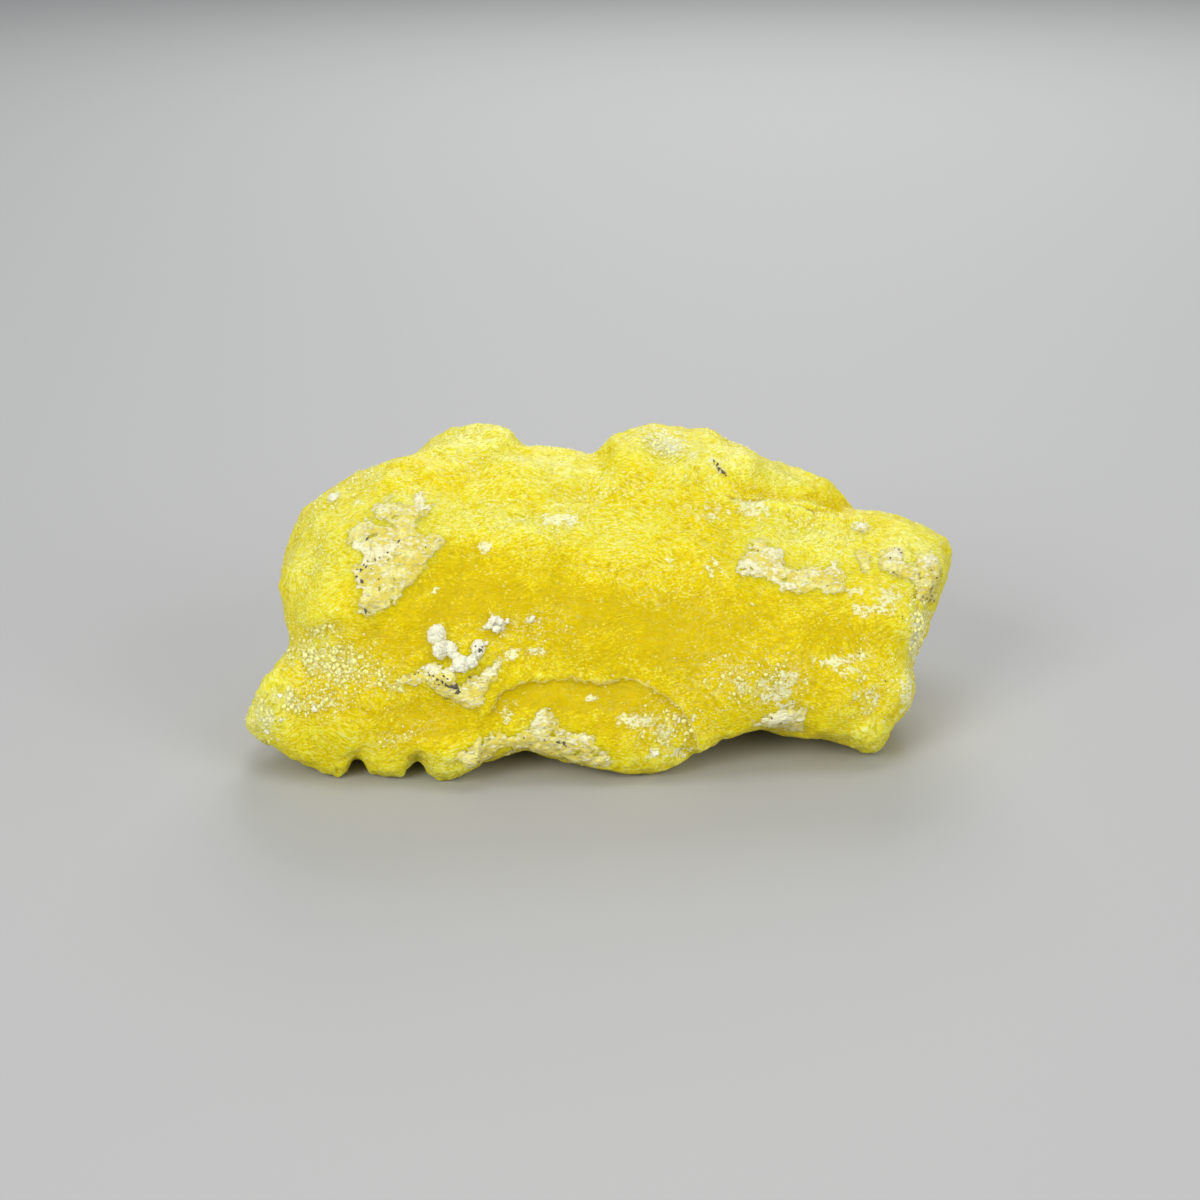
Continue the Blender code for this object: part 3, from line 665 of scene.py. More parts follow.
domes = calc(relief, "SUBTRACT", CELL_MIDDLE, scales.outputs["Distance"])
bumps = times(relief, calc(relief, "SUBTRACT", CELL_MIDDLE, pebbles), given["Pebble Height"])
bumpy = fitted(relief, thin_here, PEBBLES_WHERE_THIN, PEBBLES_EVERYWHERE)
bumpy = fitted(relief, frost, PEBBLES_IN_FROST, bumpy)
chips = mask(relief, noisy(relief, in_mm, CHIP_SCALE, 1.0).outputs[0], CHIP_GAIN, CHIP_SHIFT)
loose = calc(relief, "ADD", thin_here, stored(relief, "nicked"), clamp=True)
height = stored(relief, "crease")
for lift, share in (
    (domes, given["Scale Height"]),
    (calc(relief, "SUBTRACT", terraces, 0.5), given["Terrace Height"]),
    (bumps, bumpy),
    (calc(relief, "SUBTRACT", ripples, 0.5), given["Ripple Height"]),
    (times(relief, chips, loose), -CHIP_DEPTH),
):
    height = fitted(relief, lift, share, height)
# Kept for the material, which paints the hollows a deeper gold as shade.
stored_height = fitted(relief, height, HEIGHT_GAIN, HEIGHT_SHIFT)
kept = add(
    relief,
    "GeometryNodeStoreNamedAttribute",
    {"Geometry": given["Skin"], "Name": "height", "Value": stored_height},
    data_type="FLOAT",
    domain="POINT",
).outputs[0]
offset = scaled(relief, relief.nodes.new("GeometryNodeInputNormal").outputs[0], times(relief, height, MM))
above = vector(relief, "MAXIMUM", vector(relief, "ADD", position, offset), given["Lowest"])
inside = vector(relief, "MINIMUM", above, given["Highest"])
lifted = add(relief, "GeometryNodeSetPosition", {"Geometry": kept, "Position": inside}).outputs[0]
relief.links.new(lifted, result.inputs[0])
print("relief tree:", len(relief.nodes), "nodes")

# %% Relief on the skin
TOP_LIGHT_START, TOP_LIGHT_FULL = 0.55, 0.98  # how squarely the skin faces up where the painted top light begins and where it is full


def triangles_in(mesh):
    """How many triangles a mesh's faces make."""
    return sum(len(face.vertices) - 2 for face in mesh.polygons)


def shown(name, mesh):
    """A mesh as a piece of the specimen."""
    mesh.name = name
    print(f"{name}: {triangles_in(mesh)} triangles")
    return placed(name, mesh)


skin = run_nodes(skin, relief, Lowest=cad_box[0], Highest=cad_box[1])
brucite = shown("brucite", skin)
skin_tree = tree_of(skin)
# Painted top light: the material paints faces that look up paler and whiter, as if lit from above.
set_value(skin, "sky", ramp(points_of(skin)[1][:, 2], TOP_LIGHT_START, TOP_LIGHT_FULL))

# %% [markdown]
# ## The stone itself
#
# Two effects are shared by more than one finish, so each is a shader group. "Sugar grain" makes the fine
# crystals, too small to model one by one. "Ragged edge" turns a soft patch into one with a crisp, torn rim.

# %% Shared shader groups
sugar, given, result = new_tree(
    "Sugar grain",
    "ShaderNodeTree",
    [("Vector", VECTOR, None), ("Size", FLOAT, 0.4), ("Stretch", FLOAT, 1.0)],
    [("Height", FLOAT), ("Glint", FLOAT)],
)
squeeze = {0: calc(sugar, "DIVIDE", 1.0, given["Stretch"]), 1: 1.0, 2: 1.0}
spread = vector(sugar, "MULTIPLY", given["Vector"], add(sugar, "ShaderNodeCombineXYZ", squeeze).outputs[0])
fineness = calc(sugar, "DIVIDE", 1.0, given["Size"])
crystals = add(sugar, "ShaderNodeTexVoronoi", {"Vector": spread, "Scale": fineness})
cloud = noisy(sugar, spread, times(sugar, fineness, 0.8), 3.0).outputs[0]
bumpy = calc(sugar, "SUBTRACT", fitted(sugar, crystals.outputs["Distance"], -0.8, 0.7), 0.1)
sugar.links.new(fitted(sugar, cloud, 0.8, bumpy), result.inputs[0])
# Glint: a random value for each crystal, by which the stone picks crystals for painted glint spots.
cell = add(sugar, "ShaderNodeSeparateColor", {0: crystals.outputs["Color"]}).outputs[0]
sugar.links.new(cell, result.inputs[1])

ragged, given, result = new_tree(
    "Ragged edge",
    "ShaderNodeTree",
    [("Vector", VECTOR, None), ("Patch", FLOAT, 0.0), ("Size", FLOAT, 1.0), ("Softness", FLOAT, 0.05)],
    [("Mask", FLOAT)],
)
torn = noisy(ragged, given["Vector"], calc(ragged, "DIVIDE", 1.0, given["Size"]), 6.0)
torn.inputs["Roughness"].default_value = 0.65
level = calc(ragged, "ADD", fitted(ragged, torn.outputs[0], 2.4, -1.2), given["Patch"])
start, end = (calc(ragged, side, 0.5, given["Softness"]) for side in ("SUBTRACT", "ADD"))
crisp = {"Value": level, "From Min": start, "From Max": end}
rim = add(ragged, "ShaderNodeMapRange", crisp, interpolation_type="SMOOTHSTEP").outputs[0]
ragged.links.new(rim, result.inputs[0])
print("shader groups:", sugar.name, "and", ragged.name)


# %% Helpers for materials
def stone_material(name):
    """A new material: (material, node tree, Principled shader, place in millimetres)."""
    material = bpy.data.materials.new(name)
    material.use_nodes = True
    tree = material.node_tree
    place = tree.nodes.new("ShaderNodeTexCoord").outputs["Object"]
    return material, tree, tree.nodes["Principled BSDF"], scaled(tree, place, 1 / MM)


def group(tree, shared, **inputs):
    """A shared group, placed in a material."""
    return add(tree, "ShaderNodeGroup", inputs, node_tree=shared)


def value_of(tree, name):
    """The output of an attribute node."""
    return add(tree, "ShaderNodeAttribute", attribute_name=name).outputs["Fac"]


def blend(tree, share, below, above):
    """A colour mixed from two, which are colours or outputs."""
    colours = {6: below, 7: above}
    for key, colour in colours.items():
        if not isinstance(colour, bpy.types.NodeSocket):
            colours[key] = (*colour, 1)
    return add(tree, "ShaderNodeMix", {0: share, **colours}, data_type="RGBA").outputs[2]


def layered(tree, colour, layers):
    """A colour under several layers, each with a mask, the share of it that counts and its own colour."""
    for covered, share, laid in layers:
        colour = blend(tree, times(tree, covered, share), colour, laid)
    return colour


def clouds(tree, place, size, detail=2.0):
    """Noise from 0 to 1 with lumps of a size in millimetres."""
    return noisy(tree, place, 1 / size, detail).outputs[0]


def dents(tree, height, distance, normal=None):
    """A normal bent by a height, whose whole range is a distance in metres."""
    under = {} if normal is None else {"Normal": normal}
    return add(tree, "ShaderNodeBump", {"Height": height, "Distance": distance, **under}).outputs[0]


# %% [markdown]
# ## The brucite's finish
#
# Light enters the stone, scatters and comes out elsewhere, so most of the surface is subsurface scattering.
# Red and green travel further than blue, which is what makes thick parts golden. That glow blurs any bump,
# so the fine texture is in the base colour, partly the stone's own streaks and partly painted light and shade
# of the fine relief: strokes and engraved lines run with a noise that swirls round the stone, and lighten or
# deepen a yellow set by thinness, height and how squarely a place faces up. The hollows get a deeper gold as
# painted shade, and faces that look up are painted paler as top light.

# %% How the brucite's texture runs
DEEP_GOLD = (0.70, 0.53, 0.001)
GOLD = (0.82, 0.67, 0.002)
LEMON = (0.80, 0.745, 0.045)
PALE = (0.84, 0.80, 0.20)
# A shaded yellow, for the painted shade at the dark ends of the strokes
SHADE_OLIVE = (0.50, 0.44, 0.012)
SUGAR_YELLOW = (0.93, 0.88, 0.22)
SUGAR_WHITE = (0.95, 0.92, 0.50)
FILM_CREAM = (0.97, 0.945, 0.60)

stone, tree, shader, in_mm = stone_material("brucite")
flow = noisy(tree, in_mm, 0.3).outputs["Color"]
flow = vector(tree, "MULTIPLY_ADD", flow, (1.5, 1.5, 1.5), in_mm)
flow = vector(tree, "MULTIPLY", flow, (0.70, 1.0, 1.1))
swirl = noisy(tree, in_mm, 0.16, 1.0).outputs["Color"]
swirl = vector(tree, "MULTIPLY_ADD", swirl, (7.0, 7.0, 7.0), in_mm)
combed = vector(tree, "MULTIPLY", swirl, (0.45, 1.0, 1.5))

grain = group(tree, sugar, Vector=in_mm, Size=0.36, Stretch=1.5).outputs["Height"]
ripples = clouds(tree, flow, 0.50, 2.0)
engraving = clouds(tree, flow, 0.19, 1.0)
strands = line_at(tree, clouds(tree, flow, 0.7, 4.0), 0.5, 34.0)
strokes = clouds(tree, combed, 0.27, 2.0)
wave = {"Vector": swirl, "Scale": 0.75, "Distortion": 5.0, "Detail": 3.0, "Detail Scale": 1.6}
lines = add(tree, "ShaderNodeTexWave", wave, bands_direction="Z").outputs["Fac"]
busy = mask(tree, clouds(tree, in_mm, 3.0, 3.0), 4.0, -1.3)  # where engraving and lines show
print("texture of the brucite:", len(tree.nodes), "nodes")

# %% The yellows
SHADOW_DEPTH = 2.5  # how far below a ledge its shadow reaches, in millimetres

beside = calc(tree, "SUBTRACT", clouds(tree, in_mm, 0.5, 3.0), 0.5)
beside = fitted(tree, beside, 1.2, value_of(tree, "beside"))
below = times(tree, calc(tree, "LESS_THAN", beside, 0.0), calc(tree, "GREATER_THAN", beside, -SHADOW_DEPTH))
shadow = times(tree, below, mask(tree, beside, 0.4, 1.0))
tone = fitted(tree, value_of(tree, "tone"), 0.60, 0.34)
# Terms of the yellow: paler where thin, painted for the light that comes through; a deeper gold in the
# hollows, as painted shade; paler where the skin faces up, as painted top light; the strokes, ripples,
# engraving, lines and grain, partly the stone's own streaks and partly painted light and shade of the fine
# relief; and a painted shadow below each ledge.
for value, middle, share in (
    (value_of(tree, "thin"), 0.2, 0.34),
    (value_of(tree, "height"), 0.5, 0.30),
    (value_of(tree, "sky"), 0.4, 0.12),
    (strokes, 0.5, 0.9),
    (clouds(tree, in_mm, 5.5), 0.5, 0.18),
    (clouds(tree, in_mm, 2.2), 0.5, 0.12),
    (ripples, 0.5, 0.50),
    (times(tree, calc(tree, "SUBTRACT", engraving, 0.5), busy), 0.0, 1.5),
    (times(tree, calc(tree, "SUBTRACT", lines, 0.5), busy), 0.0, 0.16),
    (shadow, 0.0, -0.34),
    (grain, 0.6, 0.30),
):
    tone = fitted(tree, calc(tree, "SUBTRACT", value, middle), share, tone)
yellows = add(tree, "ShaderNodeValToRGB", {0: tone})
stops = yellows.color_ramp.elements
stops[0].position, stops[0].color = 0.0, (*DEEP_GOLD, 1)
stops[1].position, stops[1].color = 1.0, (*PALE, 1)
for place, colour in ((0.34, GOLD), (0.68, LEMON)):
    stops.new(place).color = (*colour, 1)
print("yellows run from", DEEP_GOLD, "to", PALE)

# %% [markdown]
# ## Painted highlights and shade, flecks and films
#
# These lie on the yellow as layers, the thin films on top. Glints are painted highlights: single crystals
# that catch the light, painted pale into the colour, rarer where the stone is pale or frosted. The strokes'
# dark ends are painted shade and their bright ends painted highlight, over the stone's own streaks, both
# strongest on pale stone. Thin white lines along the strands are painted highlights on the ripples,
# strongest where the skin is frosted or faces up, and a ledge gets a painted highlight along its edge.
# Flecks and films follow the "frost" and "film" patches. Strokes break them up, or they would look like flat
# paint.

# %% Brucite material
frost = value_of(tree, "frost")
broken = calc(tree, "ADD", calc(tree, "ADD", engraving, strokes), clouds(tree, combed, 0.6, 3.0))

flecks = {"Vector": in_mm, "Patch": fitted(tree, frost, 0.62, -0.20), "Size": 0.30, "Softness": 0.06}
flecks = group(tree, ragged, **flecks).outputs[0]
blots = {"Vector": combed, "Patch": fitted(tree, frost, 0.60, -0.28), "Size": 0.85, "Softness": 0.06}
blots = times(tree, group(tree, ragged, **blots).outputs[0], mask(tree, broken, 3.0, -3.6))
flecks = calc(tree, "MAXIMUM", flecks, blots)
film = group(tree, ragged, Vector=in_mm, Patch=value_of(tree, "film"), Size=0.8, Softness=0.10).outputs[0]
film = times(tree, film, mask(tree, broken, 3.6, -4.45))

# Painted glint: a few crystal-sized spots painted pale yellow, standing in for crystals that catch the light.
specks = group(tree, sugar, Vector=in_mm, Size=0.16, Stretch=1.3).outputs["Glint"]
rarity = fitted(tree, clouds(tree, in_mm, 1.8, 3.0), -0.50, 1.21)
rarity = fitted(tree, value_of(tree, "tone"), -0.10, rarity)
rarity = fitted(tree, frost, -0.06, rarity)
painted_glints = calc(tree, "GREATER_THAN", specks, rarity)

# A pale line along the edge of each ledge: a painted highlight.
edge = line_at(tree, beside, 0.12, 6.0)
pale = mask(tree, tone, 1.5, -0.35)
# The ends of the strokes: the dark ones in olive as painted shade and the bright ones in white as painted
# highlight, over the stone's own streaks, both strongest on pale stone.
shaded_furrows, lit_dashes = mask(tree, strokes, -9.0, 4.2), mask(tree, strokes, 12.0, -6.9)
# White lines along the strands: painted highlights on the ripples, strongest where the skin is frosted or
# faces up.
frost_and_top_light = fitted(tree, value_of(tree, "sky"), 0.4, frost)
highlight_scribbles = times(tree, strands, mask(tree, frost_and_top_light, 1.4, -0.1))
layers = (
    (painted_glints, 0.50, SUGAR_YELLOW),
    (edge, 0.45, SUGAR_WHITE),
    (shaded_furrows, fitted(tree, pale, 0.40, 0.38), SHADE_OLIVE),
    (lit_dashes, times(tree, pale, 0.50), SUGAR_WHITE),
    (highlight_scribbles, 0.60, SUGAR_WHITE),
    (flecks, 0.75, SUGAR_WHITE),
    (film, 0.92, FILM_CREAM),
)

carved = fitted(tree, lines, 0.35, calc(tree, "ADD", grain, engraving))
bent = dents(tree, carved, 0.08 * MM)
bent = dents(tree, mask(tree, beside, 3.0, 0.5), 0.22 * MM, bent)
bent = dents(tree, ripples, 0.11 * MM, bent)
feed(tree, shader, {
    "Base Color": layered(tree, yellows.outputs[0], layers),
    "Roughness": fitted(tree, film, 0.2, fitted(tree, flecks, 0.25, 0.27)),
    "Normal": dents(tree, calc(tree, "ADD", film, flecks), 0.06 * MM, bent),
    "IOR": 1.57,
    "Specular IOR Level": 0.06,
    "Subsurface Weight": 0.9,
    "Subsurface Radius": (1.0, 0.92, 0.2),
    "Subsurface Scale": 1.8 * MM,
    "Sheen Weight": 0.01,
    "Sheen Roughness": 0.35,
    "Sheen Tint": (1.0, 0.96, 0.45, 1),
})
skin.materials.clear()
skin.materials.append(stone)
print("brucite material:", len(tree.nodes), "nodes")

# %% [markdown]
# ## The crust's finish
#
# The scraps of vein wall are dull and dry next to the stone: cream and chalk white, with tan stains, cracks
# and pores, and a grain like coarse chalk. White flakes gather where the crust is "bleached". The nodules
# get the same finish in plain white, without cracks.

# %% Crust and nodule materials
CREAM = (0.80, 0.68, 0.11)
CHALK = (0.93, 0.86, 0.31)
TAN = (0.58, 0.45, 0.10)
WHITE = (0.99, 0.97, 0.72)
FIBRES = (-0.25, 0.0, 0.4)  # how the mottling is squeezed along each axis


def chalk_finish(name, body, bright, stained, worn):
    """A dull, grainy finish. stained is how much of it is tan, and worn how strongly its cracks show."""
    material, tree, shader, in_mm = stone_material(name)
    slanted = vector(tree, "MULTIPLY_ADD", in_mm, FIBRES, in_mm)
    grain = group(tree, sugar, Vector=in_mm, Size=0.30, Stretch=1.4).outputs["Height"]
    mottle = mask(tree, clouds(tree, slanted, 1.3, 6.0), 8.0, -3.7)
    bleach = fitted(tree, value_of(tree, "bleach"), 3.0, -4.7)
    flakes = mask(tree, clouds(tree, slanted, 0.40, 4.0), 9.0, bleach)
    layers = (
        (flakes, 0.75, WHITE),
        (line_at(tree, clouds(tree, slanted, 0.8, 5.0), 0.5, 26.0), worn, TAN),
        (group(tree, ragged, Vector=in_mm, Patch=stained, Size=1.6, Softness=0.3).outputs[0], 0.5, TAN),
        (mask(tree, grain, -3.0, 1.5), 0.1 + 1.5 * worn, TAN),
    )
    bent = dents(tree, clouds(tree, slanted, 0.6, 4.0), 0.35 * MM)
    bent = dents(tree, flakes, 0.06 * MM, bent)
    feed(tree, shader, {
        "Base Color": layered(tree, blend(tree, mottle, body, bright), layers),
        "Roughness": fitted(tree, grain, 0.2, 0.60),
        "Normal": dents(tree, grain, 0.13 * MM, bent),
        "Specular IOR Level": 0.12,
        "Subsurface Weight": 0.25,
        "Subsurface Radius": (1.0, 0.9, 0.5),
        "Subsurface Scale": 0.5 * MM,
    })
    return material


chalky = chalk_finish("crust", CREAM, CHALK, 0.15, 0.3)
white = chalk_finish("nodule_white", WHITE, WHITE, -0.3, 0.0)
print("chalky finishes:", chalky.name, "and", white.name)

# %% [markdown]
# ## The finishes of frost and dark grains
#
# The loose white grains are brucite too, but so small and full of edges that they scatter light like sugar.
# The dark grains are another mineral, nearly black and brown in places.

# %% Frost and dark materials
DARK = (0.045, 0.042, 0.060)
DARK_BROWN = (0.16, 0.12, 0.05)

frosty, tree, shader, in_mm = stone_material("frost")
feed(tree, shader, {
    "Base Color": blend(tree, clouds(tree, in_mm, 1.5), SUGAR_YELLOW, SUGAR_WHITE),
    "Roughness": fitted(tree, clouds(tree, in_mm, 0.2), 0.3, 0.3),
    "Specular IOR Level": 0.12,
    "Subsurface Weight": 0.5,
    "Subsurface Radius": (1.0, 0.95, 0.5),
    "Subsurface Scale": 0.3 * MM,
})

dark, tree, shader, in_mm = stone_material("dark_mineral")
feed(tree, shader, {
    "Base Color": blend(tree, clouds(tree, in_mm, 0.25), DARK, DARK_BROWN),
    "Roughness": fitted(tree, clouds(tree, in_mm, 0.1), 0.4, 0.35),
})
print("finishes of the grains:", frosty.name, "and", dark.name)

# %% [markdown]
# ## Crusts with torn rims
#
# A crust is a thin plate that follows the stone. Each one starts as a fine grid over its outline on the
# map, dropped onto the skin along the rays of the eye. Well inside the outline the grid stands proud, and
# outside it dives under the skin, so the rim is where the two cross. Noise in that height tears the rim and
# opens holes. A boolean of a drawn plate would give a rim as smooth as the drawing.

# %% Crust outlines
CRUSTS = {
    "front": {
        "left shoulder": [
            (-22.7, 9.7), (-21.9, 9.8), (-21.4, 10.1), (-20.7, 10.4), (-20.6, 9.8), (-19.8, 9.7),
            (-19.2, 9.4), (-18.5, 9.5), (-18.4, 10.3), (-18.0, 10.9), (-17.5, 10.3), (-17.6, 9.6),
            (-16.8, 9.5), (-16.7, 8.8), (-17.6, 8.5), (-18.2, 8.0), (-18.3, 7.2), (-18.1, 6.6), (-17.0, 6.4),
            (-16.1, 6.5), (-15.6, 6.0), (-15.7, 5.4), (-16.3, 4.8), (-17.0, 3.8), (-17.7, 2.7), (-19.0, 1.6),
            (-20.2, 0.3), (-20.8, -0.8), (-22.3, -1.5), (-22.7, -1.2), (-24.1, -1.3), (-23.9, 0.5),
            (-24.2, 1.6), (-24.7, 3.1), (-24.4, 3.5), (-23.6, 4.0), (-23.7, 4.6), (-24.8, 5.0), (-25.1, 5.8),
            (-25.1, 6.8), (-24.6, 7.8), (-23.4, 8.1), (-22.6, 8.5),
        ],
        "end of the fin": [
            (-20.1, -8.2), (-19.6, -7.6), (-18.7, -7.3), (-18.0, -7.0), (-17.2, -6.6), (-16.6, -6.5),
            (-16.0, -6.8), (-15.2, -6.7), (-14.8, -7.0), (-14.4, -7.7), (-14.5, -8.4), (-14.4, -9.0),
            (-13.4, -8.4), (-12.4, -7.6), (-11.9, -7.4), (-11.2, -6.9), (-10.6, -6.6), (-10.0, -5.9),
            (-9.6, -6.2), (-10.2, -7.0), (-10.3, -7.7), (-11.0, -8.2), (-11.4, -9.1), (-11.6, -9.8),
            (-12.1, -10.6), (-13.2, -11.0), (-14.4, -10.4), (-15.3, -9.9), (-16.1, -9.5), (-16.5, -8.9),
            (-17.4, -8.3), (-18.6, -8.3), (-19.6, -8.4),
        ],
        "over the arch": [
            (-14.4, -15.9), (-13.9, -15.0), (-12.8, -14.6), (-12.1, -13.7), (-11.6, -14.0), (-10.8, -13.5),
            (-10.4, -12.9), (-9.8, -13.4), (-9.2, -13.7), (-8.3, -13.4), (-7.3, -12.9), (-6.8, -12.6),
            (-6.3, -11.6), (-6.5, -10.9), (-5.8, -10.6), (-5.2, -10.7), (-4.7, -11.4), (-4.1, -12.2),
            (-4.0, -12.9), (-3.2, -13.3), (-1.6, -13.2), (-0.6, -13.7), (-0.8, -14.6), (0.4, -15.0),
            (1.0, -15.5), (1.0, -16.3), (-0.5, -16.9), (-3.0, -16.2), (-6.6, -15.4), (-8.0, -15.1),
            (-11.0, -16.1), (-13.2, -17.0),
        ],
        "right shoulder": [
            (13.7, 3.0), (13.9, 3.9), (14.5, 4.6), (14.8, 5.6), (15.3, 6.0), (16.2, 6.1), (17.0, 5.5),
            (18.2, 4.9), (18.6, 4.2), (18.7, 3.4), (19.6, 3.2), (20.6, 3.1), (22.3, 3.0), (22.9, 3.4),
            (22.8, 4.0), (23.8, 4.0), (23.9, 3.4), (24.4, 2.8), (24.9, 2.2), (24.7, 1.6), (24.6, 0.9),
            (23.3, 0.6), (22.4, 0.8), (20.5, 0.9), (19.2, 0.8), (18.2, 1.0), (17.9, 1.5), (16.5, 2.0),
            (14.8, 2.4), (14.0, 2.6),
        ],
        "scrap by the right end": [
            (25.6, 4.5), (26.0, 4.9), (26.6, 4.8), (27.0, 4.3), (26.7, 3.9), (26.8, 3.3), (26.5, 3.0),
            (26.3, 3.6), (25.9, 3.9),
        ],
        "right end": [
            (27.7, 3.9), (28.1, 4.9), (29.0, 5.2), (29.7, 5.7), (30.3, 5.2), (30.8, 4.2), (31.2, 3.5),
            (31.7, 3.5), (31.3, 4.3), (32.2, 4.4), (32.7, 4.9), (33.6, 4.7), (34.1, 4.1), (34.2, 2.6),
            (33.6, 1.0), (33.5, -0.2), (32.6, -0.4), (31.8, 0.2), (31.3, 1.6), (30.2, 2.3), (29.1, 2.6),
            (28.1, 3.2),
        ],
        "over the arch's right end": [
            (15.4, -12.2), (16.4, -11.9), (17.4, -11.4), (18.4, -11.3), (18.9, -10.8), (20.4, -10.9),
            (20.7, -11.6), (20.2, -12.2), (20.4, -13.1), (18.6, -12.8), (16.8, -12.8),
        ],
        "fleck on the right": [(25.5, 7.3), (25.8, 7.7), (26.4, 7.7), (26.8, 7.3), (26.5, 6.9), (25.8, 6.9)],
    },
    "behind": {
        "left": [
            (-24.0, 4.0), (-21.5, 5.5), (-18.5, 4.6), (-17.0, 2.0), (-18.6, 0.2), (-17.8, -2.2),
            (-20.4, -2.8), (-22.2, -0.8), (-25.2, 0.6),
        ],
        "middle": [
            (-3.0, -2.2), (-0.4, -0.6), (2.2, -1.2), (4.6, 0.8), (7.4, 0.4), (8.2, -2.0), (5.0, -3.4),
            (2.4, -5.2), (-1.2, -4.6),
        ],
        "right": [(17.0, 5.8), (20.2, 6.6), (22.6, 4.8), (21.8, 2.4), (19.0, 2.8), (16.6, 3.6)],
    },
}
# Holes in the front's crusts: u, v, reach along, reach across, turn in degrees
HOLES = [
    (-21.2, 7.55, 1.25, 0.5, -8), (-22.6, 6.4, 0.9, 0.3, 10), (31.0, 4.6, 0.5, 0.7, 0),
    (-9.6, -15.0, 0.8, 0.3, 20),
]
# Where the crusts are bleached: u, v, reach along, reach across, turn in degrees, strength
BLEACHED = {
    "front": [
        (-24.2, 5.3, 1.0, 0.6, 0, 0.9), (-22.7, 4.4, 1.6, 0.7, 25, 1.0), (-21.1, 5.2, 1.1, 0.5, 30, 0.8),
        (-18.0, 10.2, 0.5, 0.9, 0, 0.9), (-17.3, 9.2, 0.7, 0.5, 0, 0.6), (-22.2, 9.3, 1.4, 0.6, 0, 0.5),
        (-24.1, 8.0, 0.8, 0.4, 20, 0.4), (-24.3, 1.5, 0.4, 2.0, 0, 0.5), (14.9, 3.3, 1.4, 0.7, -20, 0.9),
        (17.5, 4.6, 0.9, 0.7, -30, 0.8), (23.2, 3.6, 0.9, 0.7, 0, 0.9), (18.3, 1.5, 0.9, 0.5, -20, 0.8),
        (21.0, 2.8, 1.2, 0.4, 0, 0.4), (29.5, 4.6, 1.0, 0.8, 0, 0.7), (33.0, 4.0, 0.9, 0.8, 0, 0.6),
        (-16.6, -6.9, 1.4, 0.5, 0, 0.7), (-11.0, -7.2, 1.2, 0.5, 40, 0.7), (-6.2, -12.2, 1.2, 1.0, 40, 0.6),
        (-2.6, -14.0, 1.8, 0.6, 0, 0.4), (18.0, -11.9, 2.0, 0.7, 10, 0.7),
    ],
    "behind": [
        (-21.0, 3.6, 2.0, 0.8, 20, 0.7), (4.0, -0.6, 2.0, 0.8, 10, 0.7), (20.0, 5.2, 1.4, 0.6, 0, 0.7),
    ],
}
print("crusts in front:", ", ".join(CRUSTS["front"]))

# %% Crust plates
GRID_STEP = 0.12  # of a crust's grid on the map, in millimetres
CRUST_MARGIN = 0.7  # how far the grid runs past the outline
CRUST_RISE = 0.15  # how far a crust stands proud, in millimetres
CRUST_SLOPE = 0.40  # rise for each millimetre in from the rim
CRUST_ROOT = 0.35  # how far the plate reaches under the skin
CRUST_WAVES = (1.1, 0.22)  # size of the broad lumps on a plate, and how far they lift it
CRUST_GRAIN = (0.4, 0.14)  # the same for its fine lumps
LEAST_RISE = -0.04  # a face with no corner above this is left out
HOLE_STRENGTH, HOLE_DEPTH = 0.8, 3  # a hole counts as if the rim were so much nearer
TORN = ((1.3, 0.45), (0.45, 0.22))  # lumps of the noise that tears the rim, and how far each moves it
LONGEST_SIDE = 0.6 * MM  # of a face; a longer one would bridge a step in the stone


def depth_inside(spots, outline):
    """How far each spot of a map lies inside a closed outline. Outside it the value is negative."""
    corners = np.array(outline)
    nearest = np.full(len(spots), np.inf)
    inside = np.zeros(len(spots), bool)
    for a, b in zip(corners, np.roll(corners, -1, axis=0)):
        share = np.clip((spots - a) @ (b - a) / ((b - a) @ (b - a)), 0, 1)
        foot = a + share[:, None] * (b - a)
        nearest = np.minimum(nearest, np.linalg.norm(spots - foot, axis=1))
        if a[1] != b[1]:
            crosses = (a[1] > spots[:, 1]) != (b[1] > spots[:, 1])
            inside ^= crosses & (spots[:, 0] < a[0] + (b[0] - a[0]) * (spots[:, 1] - a[1]) / (b[1] - a[1]))
    return np.where(inside, nearest, -nearest)


def closed_plate(name, tops, roots, quads):
    """A closed mesh from a grid's tops, the roots under them, and the grid's faces."""
    used = sorted({k for quad in quads for k in quad})
    number = {k: i for i, k in enumerate(used)}
    count = len(used)
    faces, rim = [], {}
    for quad in quads:
        a, b, c, d = (number[k] for k in quad)
        faces += [(a, b, c, d), (d + count, c + count, b + count, a + count)]
        for start, end in ((a, b), (b, c), (c, d), (d, a)):
            if rim.pop((end, start), None) is None:
                rim[start, end] = True
    faces += [(end, start, start + count, end + count) for start, end in rim]
    mesh = bpy.data.meshes.new(name)
    mesh.from_pydata([tops[k] for k in used] + [roots[k] for k in used], [], faces)
    return mesh


def noise_at(place, size, reach):
    """Noise at a place in millimetres, with lumps of a size, times a reach."""
    return reach * noise.noise(place / size)


